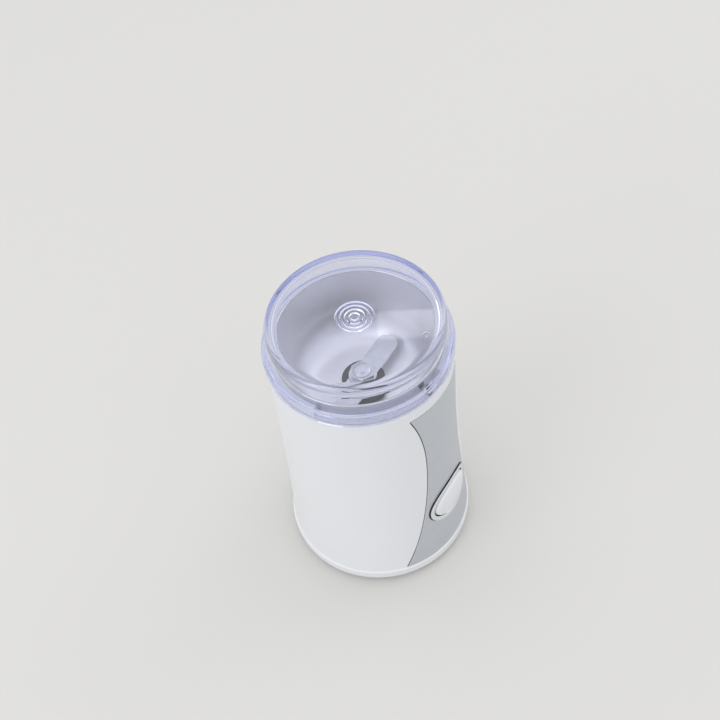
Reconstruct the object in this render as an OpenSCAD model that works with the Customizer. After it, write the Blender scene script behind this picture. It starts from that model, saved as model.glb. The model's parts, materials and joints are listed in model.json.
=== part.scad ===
// Electric spice grinder with a clear lift-off lid, a steel bowl and a spinning blade.
// Millimetres, +Z up. Origin on the floor under the centre of the base. The button faces -Y.

/* [Housing] */
// Height of the housing's shoulder, which the lid stands on
shoulder_h = 135.7; // [133:0.1:145]
// Outside radius of the housing at its shoulder
shoulder_r = 42.4; // [42.2:0.1:46]
// Outside radius of the housing just above the base cover
foot_r = 45.6; // [44.6:0.1:50]
// Wall thickness of the housing
wall = 2.4; // [2:0.1:2.6]
// How sharply the housing flares towards its foot
flare_power = 2.7; // [2:0.1:4]
// Thickness of the inner ledge that carries the bowl chassis
ledge_t = 3; // [2:0.5:4]

/* [Base] */
// Height that the rubber feet stand proud of the base cover
foot_proud = 1.6; // [1:0.1:3]
// Radius of one rubber foot
foot_pad_r = 5; // [4:0.1:5.5]
// Distance of the feet from the centre
foot_circle_r = 34; // [31:0.1:34.5]
// Height of the base cover's rim above the floor
base_top = 9.6; // [8.8:0.1:12]
// How far the base cover's rim stands out past the housing
base_lip = 0.8; // [0.4:0.1:2]
// Thickness of the base cover's floor plate
base_plate_t = 2.4; // [2:0.1:3]
// Edge rounding of the base cover
base_round = 4; // [2:0.1:4.5]
// Radius of the cord inlet's bore
cord_bore_r = 3.4; // [2.8:0.1:3.8]
// Height of the cord inlet above the floor
cord_inlet_z = 20; // [18:0.5:26]

/* [Side panel] */
// Thickness of the side panel
panel_t = 1.4; // [1:0.1:1.6]
// Half width of the side panel at its waist
panel_waist = 13.9; // [13:0.1:15]
// Height of the side panel's waist above the floor
panel_waist_z = 91; // [80:0.5:100]
// Radius of the housing bulge that bounds the panel above its waist
panel_upper_arc = 117; // [100:1:200]
// Radius of the housing bulge that bounds the panel below its waist
panel_lower_arc = 212; // [190:1:320]
// Width of the plain band between the panel and the shoulder
top_band = 7.7; // [6:0.1:10]
// Gap around the panel
panel_gap = 0.25; // [0.1:0.05:0.4]

/* [Button] */
// Height of the button's centre above the floor
button_z = 45; // [43:0.5:46]
// Half width of the button
button_a = 13; // [12:0.1:13.8]
// Half height of the button
button_b = 10.1; // [9.4:0.1:11]
// How far the button's crown stands out past the housing
button_proud = 2.4; // [1:0.1:4]
// Travel of the button
button_travel = 3; // [2:0.1:3.2]
// Gap between the button and its bezel
button_gap = 0.6; // [0.3:0.1:0.8]
// Width of the bezel ring
bezel_w = 2.5; // [2:0.1:3.2]
// How far the bezel stands out past the panel
bezel_proud = 0.9; // [0.4:0.1:1.4]
// Radius of the button's stem
stem_r = 3; // [2.5:0.1:3.2]

/* [Lid] */
// Outside radius of the lid's flange
lid_r = 43; // [42.8:0.1:46.5]
// Height of the lid above its bottom edge
lid_h = 21.5; // [20:0.1:30]
// Height of the lid's flange
lid_flange_h = 6.5; // [6:0.1:8]
// Wall thickness of the lid
lid_wall = 1.8; // [1.4:0.1:2]
// Thickness of the lid's top plate
lid_top_t = 2.4; // [1.6:0.1:3]
// How far the lid's wall draws in from the flange to the top
lid_draft = 1.4; // [0.5:0.1:1.6]
// Rounding of the lid's top edge
lid_round = 2.5; // [2:0.1:3]
// Running gap under the lid's bottom edge
lid_gap = 0.3; // [0.2:0.05:0.5]
// Distance that the lid lifts to come clear of the bowl
lid_lift = 60; // [40:1:80]
// Radius of the outermost ring of the mark on the lid's top
mark_r = 9; // [6:0.1:14]
// Number of rings in the mark
mark_rings = 4; // [2:1:6]

/* [Bowl] */
// Inside radius of the bowl at its lip
bowl_lip_r = 36.6; // [36:0.1:36.8]
// Inside radius of the bowl where its wall turns in to the floor
bowl_edge_r = 33.9; // [33:0.1:34.2]
// Height of the bowl's lip above the housing's shoulder
bowl_rise = 9; // [8:0.1:11]
// Height of the bowl's straight wall
bowl_wall_h = 19.7; // [16:0.1:22]
// Height of the bowl's curved lower part
bowl_curve_h = 18; // [16:0.1:18.5]
// Radius of the bowl's flat floor
bowl_floor_r = 20; // [19:0.1:22]
// Sheet thickness of the bowl
bowl_t = 0.8; // [0.6:0.1:1]
// Radius of the bowl's rolled lip
lip_bead_r = 0.7; // [0.5:0.1:0.8]

/* [Blade and shaft] */
// Radius of the drive shaft
shaft_r = 4; // [3.5:0.1:4.4]
// Radius of the threaded end that carries the blade
thread_r = 3; // [2.4:0.1:3.2]
// Length of the blade from its centre to a tip
blade_r = 26; // [22:0.1:27]
// Width of the blade
blade_w = 10; // [9:0.1:12]
// Thickness of the blade
blade_t = 1.6; // [1.2:0.1:2]
// Pitch of the blade's arms in degrees
blade_pitch = 9; // [0:1:12]
// Height of the blade above the bowl's floor
blade_rise = 5.5; // [5:0.1:7]

/* [Motor] */
// Height of the rubber mounts between the bowl chassis and the motor
damper_h = 7; // [7:0.1:8]
// Height of the laminated core
stack_h = 24; // [20:1:25]
// Outside radius of the field core
stator_r = 28; // [27.6:0.1:28.5]
// Radius of the armature core
armature_r = 15; // [13:0.1:15.2]
// Air gap between armature and field core
air_gap = 0.6; // [0.4:0.1:1]
// Number of slots in the armature
armature_slots = 12; // [8:1:14]
// Radius of the commutator
commutator_r = 8.5; // [7.5:0.1:9]
// Width of a carbon brush
brush_w = 5; // [4:0.1:5.4]
// Radius of the cooling fan
fan_r = 26; // [22:0.1:28]
// Number of fan blades
fan_blades = 9; // [6:1:12]

/* [Hidden] */
$fn = 96;

cut = 0.1;             // how far a cutter runs past the face that it cuts
press = 0.02;          // radial gap of a pressed fit
run = 0.05;            // radial gap of a running fit
slip = 0.15;           // gap of a piece that is slipped into its seat
joint_gap = 0.1;       // gap between a lead's end and its terminal

// Colours
white = [0.90, 0.91, 0.92];
silver = [0.70, 0.71, 0.73];
chrome = [0.80, 0.81, 0.83];
steel = [0.66, 0.67, 0.69];
clear = [0.80, 0.83, 0.95, 0.35];
black = [0.12, 0.12, 0.13];
copper = [0.72, 0.42, 0.22];
brass = [0.78, 0.64, 0.30];

// Housing: radii that follow the flared outline
function body_r(z) = shoulder_r + (foot_r - shoulder_r)
    * pow(max(0, (shoulder_h - z) / (shoulder_h - base_top)), flare_power);
function body_inner_r(z) = body_r(z) - wall;
outline_steps = 16;
function outline(z0, z1, inset) = [for (i = [0 : outline_steps])
    let (z = z0 + (z1 - z0) * i / outline_steps) [body_r(z) - inset, z]];

top_inner_r = shoulder_r - wall;
post_root = (wall + panel_t + slip) / 2;   // depth below the skin that the posts in the wall reach to
ledge_drop = 10.2;     // depth of the ledge below the shoulder
ledge_top = shoulder_h - ledge_drop;
ledge_w = 1.8;
panel_sill = 0.4;      // gap between the panel's foot and the base cover
base_r = foot_r + base_lip;
base_floor = foot_proud + base_plate_t;

// Cord gland, a sleeve with a flange let into the rear wall
gland_r = cord_bore_r + 1.6;
gland_flange_r = cord_bore_r + 3.2;
gland_seat_y = body_r(cord_inlet_z) - 1.4;
gland_sleeve = 6;
gland_flange_t = 2;

// Bowl
lip_z = shoulder_h + bowl_rise;
edge_z = lip_z - bowl_wall_h;
bowl_floor_z = edge_z - bowl_curve_h;
bowl_under = bowl_floor_z - bowl_t;
neck_r = 8.3;
neck_h = 3;
function bowl_outer_r(z) = bowl_edge_r + bowl_t + (bowl_lip_r - bowl_edge_r) * (z - edge_z) / bowl_wall_h;

// Bowl chassis
gasket_t = 3.2;
chassis_flange_t = 2.5;
chassis_top = ledge_top + chassis_flange_t;
plate_top = bowl_under - gasket_t;
plate_t = 3;
plate_bottom = plate_top - plate_t;
cup_gap = 0.9;
cup_wall = 1.4;
cup_inner_r = bowl_edge_r + bowl_t + cup_gap;
cup_outer_r = cup_inner_r + cup_wall;

// Lid
lid_z = shoulder_h + lid_gap;
lid_top = lid_z + lid_h;
flange_lip = 2;        // width of the flange's lower edge
flange_step = 1.8;     // width of the step from the flange up to the wall
flange_inner_r = lid_r - flange_lip;
flange_roof_t = 0.9;
lid_wall_r = lid_r - flange_step;
collar_fit = 1.25;     // radial gap between the flange and the collar inside it
collar_gap = 0.4;      // gap between the collar and the flange's roof
collar_top = lid_z + lid_flange_h - flange_roof_t - collar_gap;
collar_low = shoulder_h + 0.5;
window_from = 183.5;   // where the collar's low window starts, in degrees from +X
lug_w = 5;
groove_w = 1.1;        // rings of the mark
groove_depth = 0.5;

// Interlock
pin_angle = -100;
pin_r = 1.2;
pin_circle_r = bowl_outer_r(lip_z) + pin_r + 0.3 - 0.4;
pin_travel = 3;
pin_top = collar_low + 2.7;
pin_bottom = button_z + 13.5;
ear_z = pin_bottom + 1.5;
ear_t = 2;
pin_flange_z = ear_z + ear_t + 8;

// Blade and shaft
blade_z = bowl_floor_z + blade_rise;
nut_h = 5.4;
slinger_t = 2;
slinger_wall = 1.1;
slinger_r = neck_r + 0.6 + slinger_wall;

// Motor levels, from the bowl chassis down
bracket_t = 2.5;
bracket_top = plate_bottom - damper_h;
bracket_bottom = bracket_top - bracket_t;
coil_over = 5;
stack_top = bracket_bottom - coil_over - 1.5;
stack_bottom = stack_top - stack_h;
winding_over = 8;
commutator_h = 9;
commutator_bottom = stack_bottom - winding_over - 1.5 - commutator_h;
brush_z = commutator_bottom + commutator_h / 2;
holder_w = brush_w + 2;
holder_h = brush_w + 3;
holder_start = commutator_r + 1.3;
holder_end = 26;
lower_top = brush_z - holder_h / 2 - 2;
lower_t = 3;
lower_bottom = lower_top - lower_t;
bearing_r = shaft_r + 4;
bearing_h = 6;
boss_h = 7;
fan_h = 9;
fan_top = lower_bottom - boss_h - 1;
shaft_bottom = fan_top - fan_h - 2;
bolt_r = 1.75;
bolt_x = 16.5;
bolt_y = 19;
damper_x = 20.5;
damper_y = 8;
damper_r = 4.5;
motor_screw_r = 1.5;
pillar_r = 3.8;
bolt_head_r = 3.2;
air_window = [18, 6];

// Switch, set out from the housing's front wall
button_face_y = -(body_r(button_z) + button_proud);
switch_plate_y = -(body_inner_r(button_z) - 10.5);
switch_plate_t = 2;
guide_len = 5;
button_rear_y = switch_plate_y - 7;
recess_y = button_rear_y - 5;
stem_end_y = switch_plate_y - 3;
recess_r = 7.2;        // recess behind the button, which holds its spring
switch_post_x = 17;
switch_post_dz = 13.5;
switch_post_r = 2.8;
switch_hole_r = 1.3;
switch_screw_r = 1.2;
switch_head_r = 2.5;
switch_box_a = 9;
switch_box_z0 = button_z - 7.5;
switch_box_h = 15.5;
switch_box_d = 7;
contact_t = 0.4;
contact_y = switch_plate_y + switch_box_d - 2;
tab_x = 6;             // terminal tabs of the switch: place, and length below and above the box
tab_y = switch_plate_y + 4.4;
tab_w = 3.2;
tab_t = 0.8;
tab_low = 4;
tab_high = 2.5;

// Base fixing
base_screw_r = 1.5;
base_post_r = 4;
base_boss_r = base_post_r + 1.2;   // reaches well into the cover's wall
base_post_circle_r = body_inner_r(base_top) - base_post_r - 0.2;
base_post_angles = [0, 120, 240];
base_post_h = 14;
base_thread_h = 11;
post_web_t = 2;
base_head_r = 2.9;
base_head_t = 2;
base_seat_r = base_head_r + 0.3;   // seat that the screw's head is sunk in
base_seat_h = 4;
foot_angles = [45, 135, 225, 315];
foot_seat_h = 1;
slot_w = 3;            // cooling slots
slot_pitch = 7;
slot_y = -12;
slot_len = 20;

// Wiring in the foot of the housing, set out round the fan
fan_clear = 1.5;
foot_room_r = fan_r + fan_clear;
clamp_size = [18, 6, 9];
clamp_channel_z = 3.2;
terminal_size = [11, 18, 9];       // outwards, along the rim and upwards
terminal_angle = 45;
terminal_hole_r = 1.8;
terminal_hole_h = 5;
capacitor_size = [9, 16, 11];
lead_r = 1;
lead_gap = 0.4;

// ---------- shared shapes ----------

module ring(r_out, r_in, z0, z1) {
    translate([0, 0, z0]) difference() {
        cylinder(r = r_out, h = z1 - z0);
        translate([0, 0, -cut]) cylinder(r = r_in, h = z1 - z0 + 2 * cut);
    }
}

// A disc seen along Y, from y0 to y1
module y_rod(r, y0, y1) {
    translate([0, y0, 0]) rotate([-90, 0, 0]) cylinder(r = r, h = y1 - y0);
}

// A disc seen along X, from x0 to x1
module x_rod(r, x0, x1) {
    translate([x0, 0, 0]) rotate([0, 90, 0]) cylinder(r = r, h = x1 - x0);
}

// Outline points of an ellipse
function ellipse_points(a, b, n) = [for (i = [0 : n - 1]) [a * cos(360 * i / n), b * sin(360 * i / n)]];

// An elliptical prism along Y around the button's axis
module oval_prism(a, b, y0, y1) {
    translate([0, y1, button_z]) rotate([90, 0, 0])
        linear_extrude(height = y1 - y0) polygon(ellipse_points(a, b, 72));
}

// A skin of revolution that follows the housing between two depths
module body_skin(outer_inset, inner_inset, z0, z1) {
    inner = outline(z0, z1, inner_inset);
    rotate_extrude() polygon(concat(outline(z0, z1, outer_inset),
        [for (i = [outline_steps : -1 : 0]) inner[i]]));
}

// Outline of the side panel seen from the front, grown by an amount
module panel_outline(grow) {
    z0 = base_top + panel_sill - grow;
    z1 = shoulder_h - top_band + grow;
    waist = panel_waist + grow;
    reach = foot_r - 1;
    difference() {
        translate([-reach, z0]) square([2 * reach, z1 - z0]);
        for (side = [-1, 1]) {
            intersection() {
                translate([side * (waist + panel_upper_arc), panel_waist_z])
                    circle(r = panel_upper_arc, $fn = 360);
                translate([-2 * reach, panel_waist_z]) square([4 * reach, shoulder_h]);
            }
            intersection() {
                translate([side * (waist + panel_lower_arc), panel_waist_z])
                    circle(r = panel_lower_arc, $fn = 360);
                translate([-2 * reach, panel_waist_z - shoulder_h]) square([4 * reach, shoulder_h]);
            }
        }
    }
}

module panel_prism(grow) {
    rotate([90, 0, 0]) linear_extrude(height = base_r + 2) panel_outline(grow);
}

// Cuts each corner of a route twice, which rounds it
function unit(v) = v / norm(v);
function cut_corners(p) = concat([p[0]],
    [for (i = [0 : len(p) - 2], t = [0.25, 0.75]) p[i] + (p[i + 1] - p[i]) * t], [p[len(p) - 1]]);

// Side vectors carried along a list of directions, so that rings set out from them do not twist
function carry(dirs, side, i = 0) = i == len(dirs) ? []
    : let (u = unit(side - (side * dirs[i]) * dirs[i])) concat([u], carry(dirs, u, i + 1));

// An insulated lead that follows a route of points
module lead(route, r) {
    sides = 8;
    p = cut_corners(cut_corners(route));
    last = len(p) - 1;
    dirs = [for (i = [0 : last]) unit(p[min(i + 1, last)] - p[max(i - 1, 0)])];
    sideways = carry(dirs, [0.2, 0.3, 0.9]);
    points = [for (i = [0 : last], k = [0 : sides - 1])
        let (a = 360 * k / sides, u = sideways[i], v = cross(dirs[i], u))
        p[i] + r * cos(a) * u + r * sin(a) * v];
    skin = [for (i = [0 : last - 1], k = [0 : sides - 1], half = [0, 1])
        let (k2 = (k + 1) % sides, a = i * sides + k, b = i * sides + k2)
        half == 0 ? [a, b, b + sides] : [a, b + sides, a + sides]];
    start = [[for (k = [sides - 1 : -1 : 0]) k]];
    finish = [[for (k = [0 : sides - 1]) last * sides + k]];
    polyhedron(points = points, faces = concat(skin, start, finish), convexity = 6);
}

// A compression spring along +Z, from 0 to height h
module coil_spring(coil_r, wire_r, h, turns) {
    sides = 6;
    per_turn = 14;
    n = turns * per_turn;
    rise = h - 2 * wire_r;
    points = [for (i = [0 : n], k = [0 : sides - 1])
        let (a = 360 * i / per_turn, b = 360 * k / sides, rr = coil_r + wire_r * cos(b))
        [rr * cos(a), rr * sin(a), wire_r + rise * i / n + wire_r * sin(b)]];
    skin = [for (i = [0 : n - 1], k = [0 : sides - 1])
        let (k2 = (k + 1) % sides)
        [i * sides + k, (i + 1) * sides + k, (i + 1) * sides + k2, i * sides + k2]];
    start = [[for (k = [0 : sides - 1]) k]];
    finish = [[for (k = [sides - 1 : -1 : 0]) n * sides + k]];
    polyhedron(points = points, faces = concat(skin, start, finish), convexity = 8);
}

// The slot that the interlock pin runs in, open towards the housing wall
module pin_slot(z0, z1) {
    half = pin_r + slip;
    inner_end = pin_circle_r - half;
    rotate([0, 0, pin_angle]) translate([inner_end, -half, z0])
        cube([top_inner_r + slip - inner_end, 2 * half, z1 - z0]);
}

// ---------- housing ----------

module switch_posts(r, y0, y1) {
    for (sx = [-1, 1], sz = [-1, 1])
        translate([sx * switch_post_x, 0, button_z + sz * switch_post_dz]) y_rod(r, y0, y1);
}

// The room inside the housing with a part of its wall, which trims what stands on the wall
module wall_root() {
    rotate_extrude() polygon(concat([[0, base_top]], outline(base_top, shoulder_h, post_root), [[0, shoulder_h]]));
}

module body_shell() {
    color(white) difference() {
        union() {
            body_skin(0, wall, base_top, shoulder_h);
            // ledge that carries the bowl chassis
            rotate_extrude() polygon([
                [top_inner_r + 0.5, ledge_top - ledge_t - ledge_w],
                [top_inner_r + 0.5, ledge_top],
                [top_inner_r - ledge_w, ledge_top],
                [top_inner_r - ledge_w, ledge_top - ledge_t],
                [top_inner_r, ledge_top - ledge_t - ledge_w]]);
            // posts for the base screws, each with a web to the wall
            intersection() {
                for (a = base_post_angles) rotate([0, 0, a]) translate([base_post_circle_r, 0, base_top]) {
                    cylinder(r = base_post_r, h = base_post_h);
                    translate([0, -post_web_t / 2, 0]) cube([base_post_r + wall, post_web_t, base_post_h]);
                }
                wall_root();
            }
            // posts for the switch housing
            intersection() {
                switch_posts(switch_post_r, -foot_r, switch_plate_y);
                wall_root();
            }
        }
        // recess for the side panel
        intersection() {
            panel_prism(panel_gap);
            body_skin(-1, panel_t + slip, base_top - 1, shoulder_h - cut);
        }
        oval_prism(button_a + 0.3, button_b + 0.3, -foot_r - 5, -20);
        switch_posts(switch_hole_r, switch_plate_y - 6, switch_plate_y + cut);
        pin_slot(ledge_top - ledge_t - ledge_w - 1, ledge_top + cut);
        for (a = base_post_angles) rotate([0, 0, a])
            translate([base_post_circle_r, 0, base_top - cut]) cylinder(r = base_screw_r + run, h = base_thread_h);
        // cord inlet
        translate([0, 0, cord_inlet_z]) y_rod(gland_r + slip, gland_seat_y - gland_sleeve - 2, foot_r + 5);
        translate([0, 0, cord_inlet_z]) y_rod(gland_flange_r + slip, gland_seat_y, foot_r + 5);
    }
}

module side_panel() {
    color(silver) difference() {
        intersection() {
            panel_prism(0);
            body_skin(0, panel_t, base_top, shoulder_h);
        }
        oval_prism(button_a + button_gap + bezel_w + 0.1, button_b + button_gap + bezel_w + 0.1,
            -foot_r - 5, -20);
    }
}

module button_bezel() {
    a = button_a + button_gap;
    b = button_b + button_gap;
    color(chrome) intersection() {
        difference() {
            oval_prism(a + bezel_w, b + bezel_w, -foot_r - 5, -20);
            oval_prism(a, b, -foot_r - 6, -19);
        }
        body_skin(-bezel_proud, panel_t, button_z - 30, button_z + 30);
    }
}

// The button's crowned face, a barrel rounder than the housing
module button_crown() {
    barrel_r = 33;
    crown_r = 57;
    steps = 12;
    span = 30;
    translate([0, button_face_y + barrel_r, button_z]) rotate_extrude()
        polygon(concat([[0, -crown_r * sin(span)]],
            [for (i = [0 : steps]) let (t = -span + 2 * span * i / steps)
                [barrel_r - crown_r * (1 - cos(t)), crown_r * sin(t)]],
            [[0, crown_r * sin(span)]]));
}

module power_button() {
    tab_z = button_b + 1.4;
    color(white) {
        difference() {
            intersection() {
                oval_prism(button_a, button_b, -foot_r - 8, button_rear_y);
                button_crown();
            }
            translate([0, 0, button_z]) y_rod(recess_r, recess_y, button_rear_y + cut);
        }
        translate([0, 0, button_z]) y_rod(stem_r, recess_y - 0.5, stem_end_y);
        // retaining tabs behind the housing wall
        difference() {
            translate([-4.5, -body_inner_r(button_z) + 0.9, button_z - tab_z]) cube([9, 1.7, 2 * tab_z]);
            translate([0, 0, button_z]) y_rod(recess_r, -foot_r, 0);
        }
    }
}

module button_spring() {
    color(steel) translate([0, recess_y + 0.1, button_z]) rotate([-90, 0, 0])
        coil_spring(5.6, 0.4, switch_plate_y - recess_y - 0.2, 5);
}

// ---------- switch and lid interlock ----------

module switch_housing() {
    ear_half = 3;
    ear_x = pin_circle_r * cos(pin_angle);
    ear_y = pin_circle_r * sin(pin_angle);
    plate_x = switch_post_x + 3;
    plate_z = switch_post_dz + 3;
    color(black) difference() {
        union() {
            translate([-plate_x, switch_plate_y, button_z - plate_z])
                cube([2 * plate_x, switch_plate_t, 2 * plate_z]);
            translate([-switch_box_a, switch_plate_y, switch_box_z0])
                cube([2 * switch_box_a, switch_box_d, switch_box_h]);
            translate([0, 0, button_z]) y_rod(4.7, switch_plate_y - guide_len, switch_plate_y + 1);
            // ear that guides the interlock pin
            translate([ear_x - ear_half, ear_y - 2.2, ear_z])
                cube([2 * ear_half, switch_plate_y - ear_y + 2.2 + switch_plate_t, ear_t]);
        }
        translate([0, 0, button_z]) y_rod(stem_r + run, switch_plate_y - guide_len - cut, switch_plate_y + 1);
        translate([-switch_box_a + 2, switch_plate_y + 0.5, switch_box_z0 + 2])
            cube([2 * switch_box_a - 4, switch_box_d - 2, switch_box_h - 4]);
        switch_posts(switch_hole_r, switch_plate_y - 1, switch_plate_y + switch_plate_t + cut);
        translate([ear_x, ear_y, ear_z - cut]) cylinder(r = pin_r + run, h = ear_t + 2 * cut);
    }
}

// Its tip stops just short of the fixed contact at the end of the button's travel
module switch_plunger() {
    tip_y = contact_y - button_travel - slip;
    color(white) translate([0, 0, button_z]) {
        y_rod(stem_r - 0.1, stem_end_y + 0.2, stem_end_y + 2.6);
        y_rod(1.5, stem_end_y + 2, tip_y);
    }
}

module switch_contacts() {
    color(brass) {
        // fixed contact plate on the rear wall of the switch
        translate([-5, contact_y, button_z - 4]) cube([10, contact_t, 8]);
        for (sx = [-1, 1]) translate([sx * tab_x - tab_w / 2, tab_y - tab_t / 2, 0]) {
            translate([0, 0, switch_box_z0 - tab_low]) cube([tab_w, tab_t, tab_low]);
            translate([0, 0, switch_box_z0 + switch_box_h]) cube([tab_w, tab_t, tab_high]);
        }
    }
}

module switch_screws() {
    head_y = switch_plate_y + switch_plate_t;
    color(steel) {
        switch_posts(switch_screw_r, switch_plate_y - 5.5, head_y + 0.5);
        switch_posts(switch_head_r, head_y, head_y + 1.6);
    }
}

module interlock_pin() {
    color(black) rotate([0, 0, pin_angle]) translate([pin_circle_r, 0, 0]) {
        translate([0, 0, pin_bottom]) cylinder(r = pin_r, h = pin_top - pin_bottom);
        translate([0, 0, pin_flange_z]) cylinder(r = pin_r + 0.65, h = 1.5);
    }
}

module interlock_spring() {
    base = ear_z + ear_t;
    color(steel) rotate([0, 0, pin_angle]) translate([pin_circle_r, 0, base + 0.1])
        coil_spring(pin_r + 0.4, 0.2, pin_flange_z - base - 0.2, 6);
}

// ---------- lid, bowl and chassis ----------

module lid() {
    base_in = lid_wall_r - lid_wall;
    roof_z = lid_z + lid_flange_h - flange_roof_t;
    top_r = lid_wall_r - lid_draft;
    in_top = lid_top - lid_top_t;
    steps = 6;
    ring_step = mark_r / (mark_rings + 0.5);
    color(clear) {
        difference() {
            rotate_extrude() polygon(concat(
                [[flange_inner_r, lid_z], [lid_r, lid_z], [lid_r, lid_z + lid_flange_h],
                    [lid_wall_r, lid_z + lid_flange_h]],
                [for (i = [0 : steps]) let (t = 90 * i / steps)
                    [top_r - lid_round * (1 - cos(t)), lid_top - lid_round * (1 - sin(t))]],
                [[0, lid_top], [0, in_top], [top_r - lid_wall - 1.5, in_top],
                    [top_r - lid_wall, in_top - 1.5], [base_in, roof_z], [flange_inner_r, roof_z]]));
            // rings of the mark on the top
            for (i = [1 : mark_rings])
                ring(i * ring_step + groove_w, i * ring_step, lid_top - groove_depth, lid_top + 1);
        }
        // lug that holds the interlock pin down
        intersection() {
            ring(flange_inner_r + 0.5, bowl_outer_r(lip_z) + lip_bead_r + 0.4, pin_top + lid_gap, roof_z + 0.3);
            rotate([0, 0, pin_angle]) translate([0, -lug_w / 2, pin_top]) cube([lid_r, lug_w, lid_h]);
        }
    }
}

module lid_collar() {
    z0 = chassis_top;
    seat_r = top_inner_r - slip;
    outer = flange_inner_r - collar_fit;
    color(white) difference() {
        rotate_extrude() polygon([[bowl_outer_r(z0) + slip, z0], [seat_r, z0], [seat_r, shoulder_h],
            [outer, shoulder_h], [outer, collar_top], [bowl_outer_r(collar_top) + slip, collar_top]]);
        // low window where the lid's locking lug turns
        rotate([0, 0, window_from]) translate([0, 0, collar_low]) cube([shoulder_r, shoulder_r, lid_h]);
        pin_slot(z0 - cut, collar_top + cut);
    }
}

module bowl_chassis() {
    outer = top_inner_r - slip;
    hub_bore = shaft_r + 3;
    color(white) difference() {
        rotate_extrude() polygon([[hub_bore, plate_bottom], [cup_outer_r, plate_bottom],
            [cup_outer_r, ledge_top], [outer, ledge_top], [outer, chassis_top],
            [cup_inner_r, chassis_top], [cup_inner_r, plate_top], [hub_bore, plate_top]]);
        pin_slot(ledge_top - cut, chassis_top + cut);
        for (sx = [-1, 1], sy = [-1, 1]) translate([sx * damper_x, sy * damper_y, plate_bottom - cut])
            cylinder(r = motor_screw_r + run, h = plate_t + 2 * cut);
    }
}

module grinding_bowl() {
    steps = 10;
    reach = bowl_edge_r - bowl_floor_r;
    inner = [for (i = [0 : steps]) let (t = 90 * i / steps)
        [bowl_floor_r + reach * cos(t), edge_z - bowl_curve_h * sin(t)]];
    outer = [for (i = [steps : -1 : 0]) let (t = 90 * i / steps)
        [bowl_floor_r + (reach + bowl_t) * cos(t), edge_z - (bowl_curve_h + bowl_t) * sin(t)]];
    color(steel) {
        rotate_extrude() polygon(concat([[bowl_lip_r, lip_z]], inner,
            [[neck_r, bowl_floor_z], [neck_r, bowl_floor_z + neck_h], [neck_r - bowl_t, bowl_floor_z + neck_h],
                [neck_r - bowl_t, bowl_under]],
            outer, [[bowl_lip_r + bowl_t, lip_z]]));
        // rolled lip
        translate([0, 0, lip_z - 0.2]) rotate_extrude()
            translate([bowl_lip_r + bowl_t / 2, 0]) circle(r = lip_bead_r, $fn = 32);
    }
}

module bowl_gasket() {
    color(black) ring(bowl_floor_r - 2, neck_r + 1.7, plate_top, bowl_under);
}

module shaft_seal() {
    color(black) ring(shaft_r + 3 - press, shaft_r + run, plate_bottom, plate_top);
}

// ---------- rotor ----------

module drive_shaft() {
    color(steel) {
        translate([0, 0, shaft_bottom]) cylinder(r = shaft_r, h = blade_z - shaft_bottom);
        translate([0, 0, blade_z - 1]) cylinder(r = thread_r, h = blade_t + nut_h);
    }
}

module slinger_washer() {
    color(black) {
        ring(slinger_r, shaft_r + press, blade_z - slinger_t, blade_z);
        ring(slinger_r, slinger_r - slinger_wall, bowl_floor_z + 1.2, blade_z - slinger_t + cut);
    }
}

// A flat centre on the washer, and two pitched arms outside it
module blade() {
    arm_x = slinger_r + 0.3;
    color(steel) difference() {
        union() {
            intersection() {
                translate([-arm_x - 0.5, -blade_w / 2, blade_z]) cube([2 * arm_x + 1, blade_w, blade_t]);
                translate([0, 0, blade_z]) cylinder(r = blade_r, h = blade_t);
            }
            for (side = [0, 180]) rotate([0, 0, side]) intersection() {
                translate([0, 0, blade_z + blade_t / 2]) rotate([blade_pitch, 0, 0])
                    translate([arm_x, -blade_w / 2, -blade_t / 2]) cube([blade_r, blade_w, blade_t]);
                translate([0, 0, bowl_floor_z]) cylinder(r = blade_r, h = blade_rise + blade_w);
            }
        }
        translate([0, 0, blade_z - cut]) cylinder(r = thread_r + press, h = blade_t + 2 * cut);
    }
}

module blade_nut() {
    z0 = blade_z + blade_t;
    color(steel) difference() {
        union() {
            translate([0, 0, z0]) cylinder(r = thread_r + 3, h = nut_h - 1.6, $fn = 6);
            translate([0, 0, z0 + nut_h - 1.7]) cylinder(r1 = thread_r + 1.6, r2 = thread_r - 0.6, h = 1.7);
            translate([0, 0, z0]) cylinder(r = thread_r + 3.6, h = 1);
        }
        translate([0, 0, z0 - cut]) cylinder(r = thread_r + press, h = nut_h - 1 + cut);
    }
}

module armature_core() {
    color(steel) difference() {
        ring(armature_r, shaft_r + press, stack_bottom, stack_top);
        for (i = [0 : armature_slots - 1]) rotate([0, 0, i * 360 / armature_slots])
            translate([armature_r - 4.5, -0.9, stack_bottom - cut]) cube([6, 1.8, stack_h + 2 * cut]);
    }
}

// One end turn of the armature winding, from its face on the core outwards
module end_turn(length) {
    inner = shaft_r + 1.6;
    outer = armature_r - 1;
    mid = (inner + outer) / 2;
    rotate_extrude() {
        translate([inner, 0]) square([outer - inner, length - 3]);
        translate([mid - 2.5, 0]) square([5, length]);
    }
}

module armature_windings() {
    color(copper) {
        translate([0, 0, stack_top]) end_turn(coil_over);
        translate([0, 0, stack_bottom]) mirror([0, 0, 1]) end_turn(winding_over);
        // winding sides lying in the slots
        for (i = [0 : armature_slots - 1]) rotate([0, 0, i * 360 / armature_slots])
            translate([armature_r - 4.3, -0.8, stack_bottom]) cube([2.6, 1.6, stack_h]);
    }
}

module commutator() {
    bars = 2 * armature_slots;
    color(copper) difference() {
        union() {
            ring(commutator_r, shaft_r + press, commutator_bottom, commutator_bottom + commutator_h);
            ring(shaft_r + 1.5, shaft_r + press, commutator_bottom, stack_bottom - winding_over);
        }
        for (i = [0 : bars - 1]) rotate([0, 0, i * 360 / bars])
            translate([commutator_r - 0.8, -0.2, commutator_bottom - cut]) cube([2, 0.4, commutator_h + 2 * cut]);
    }
}

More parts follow.
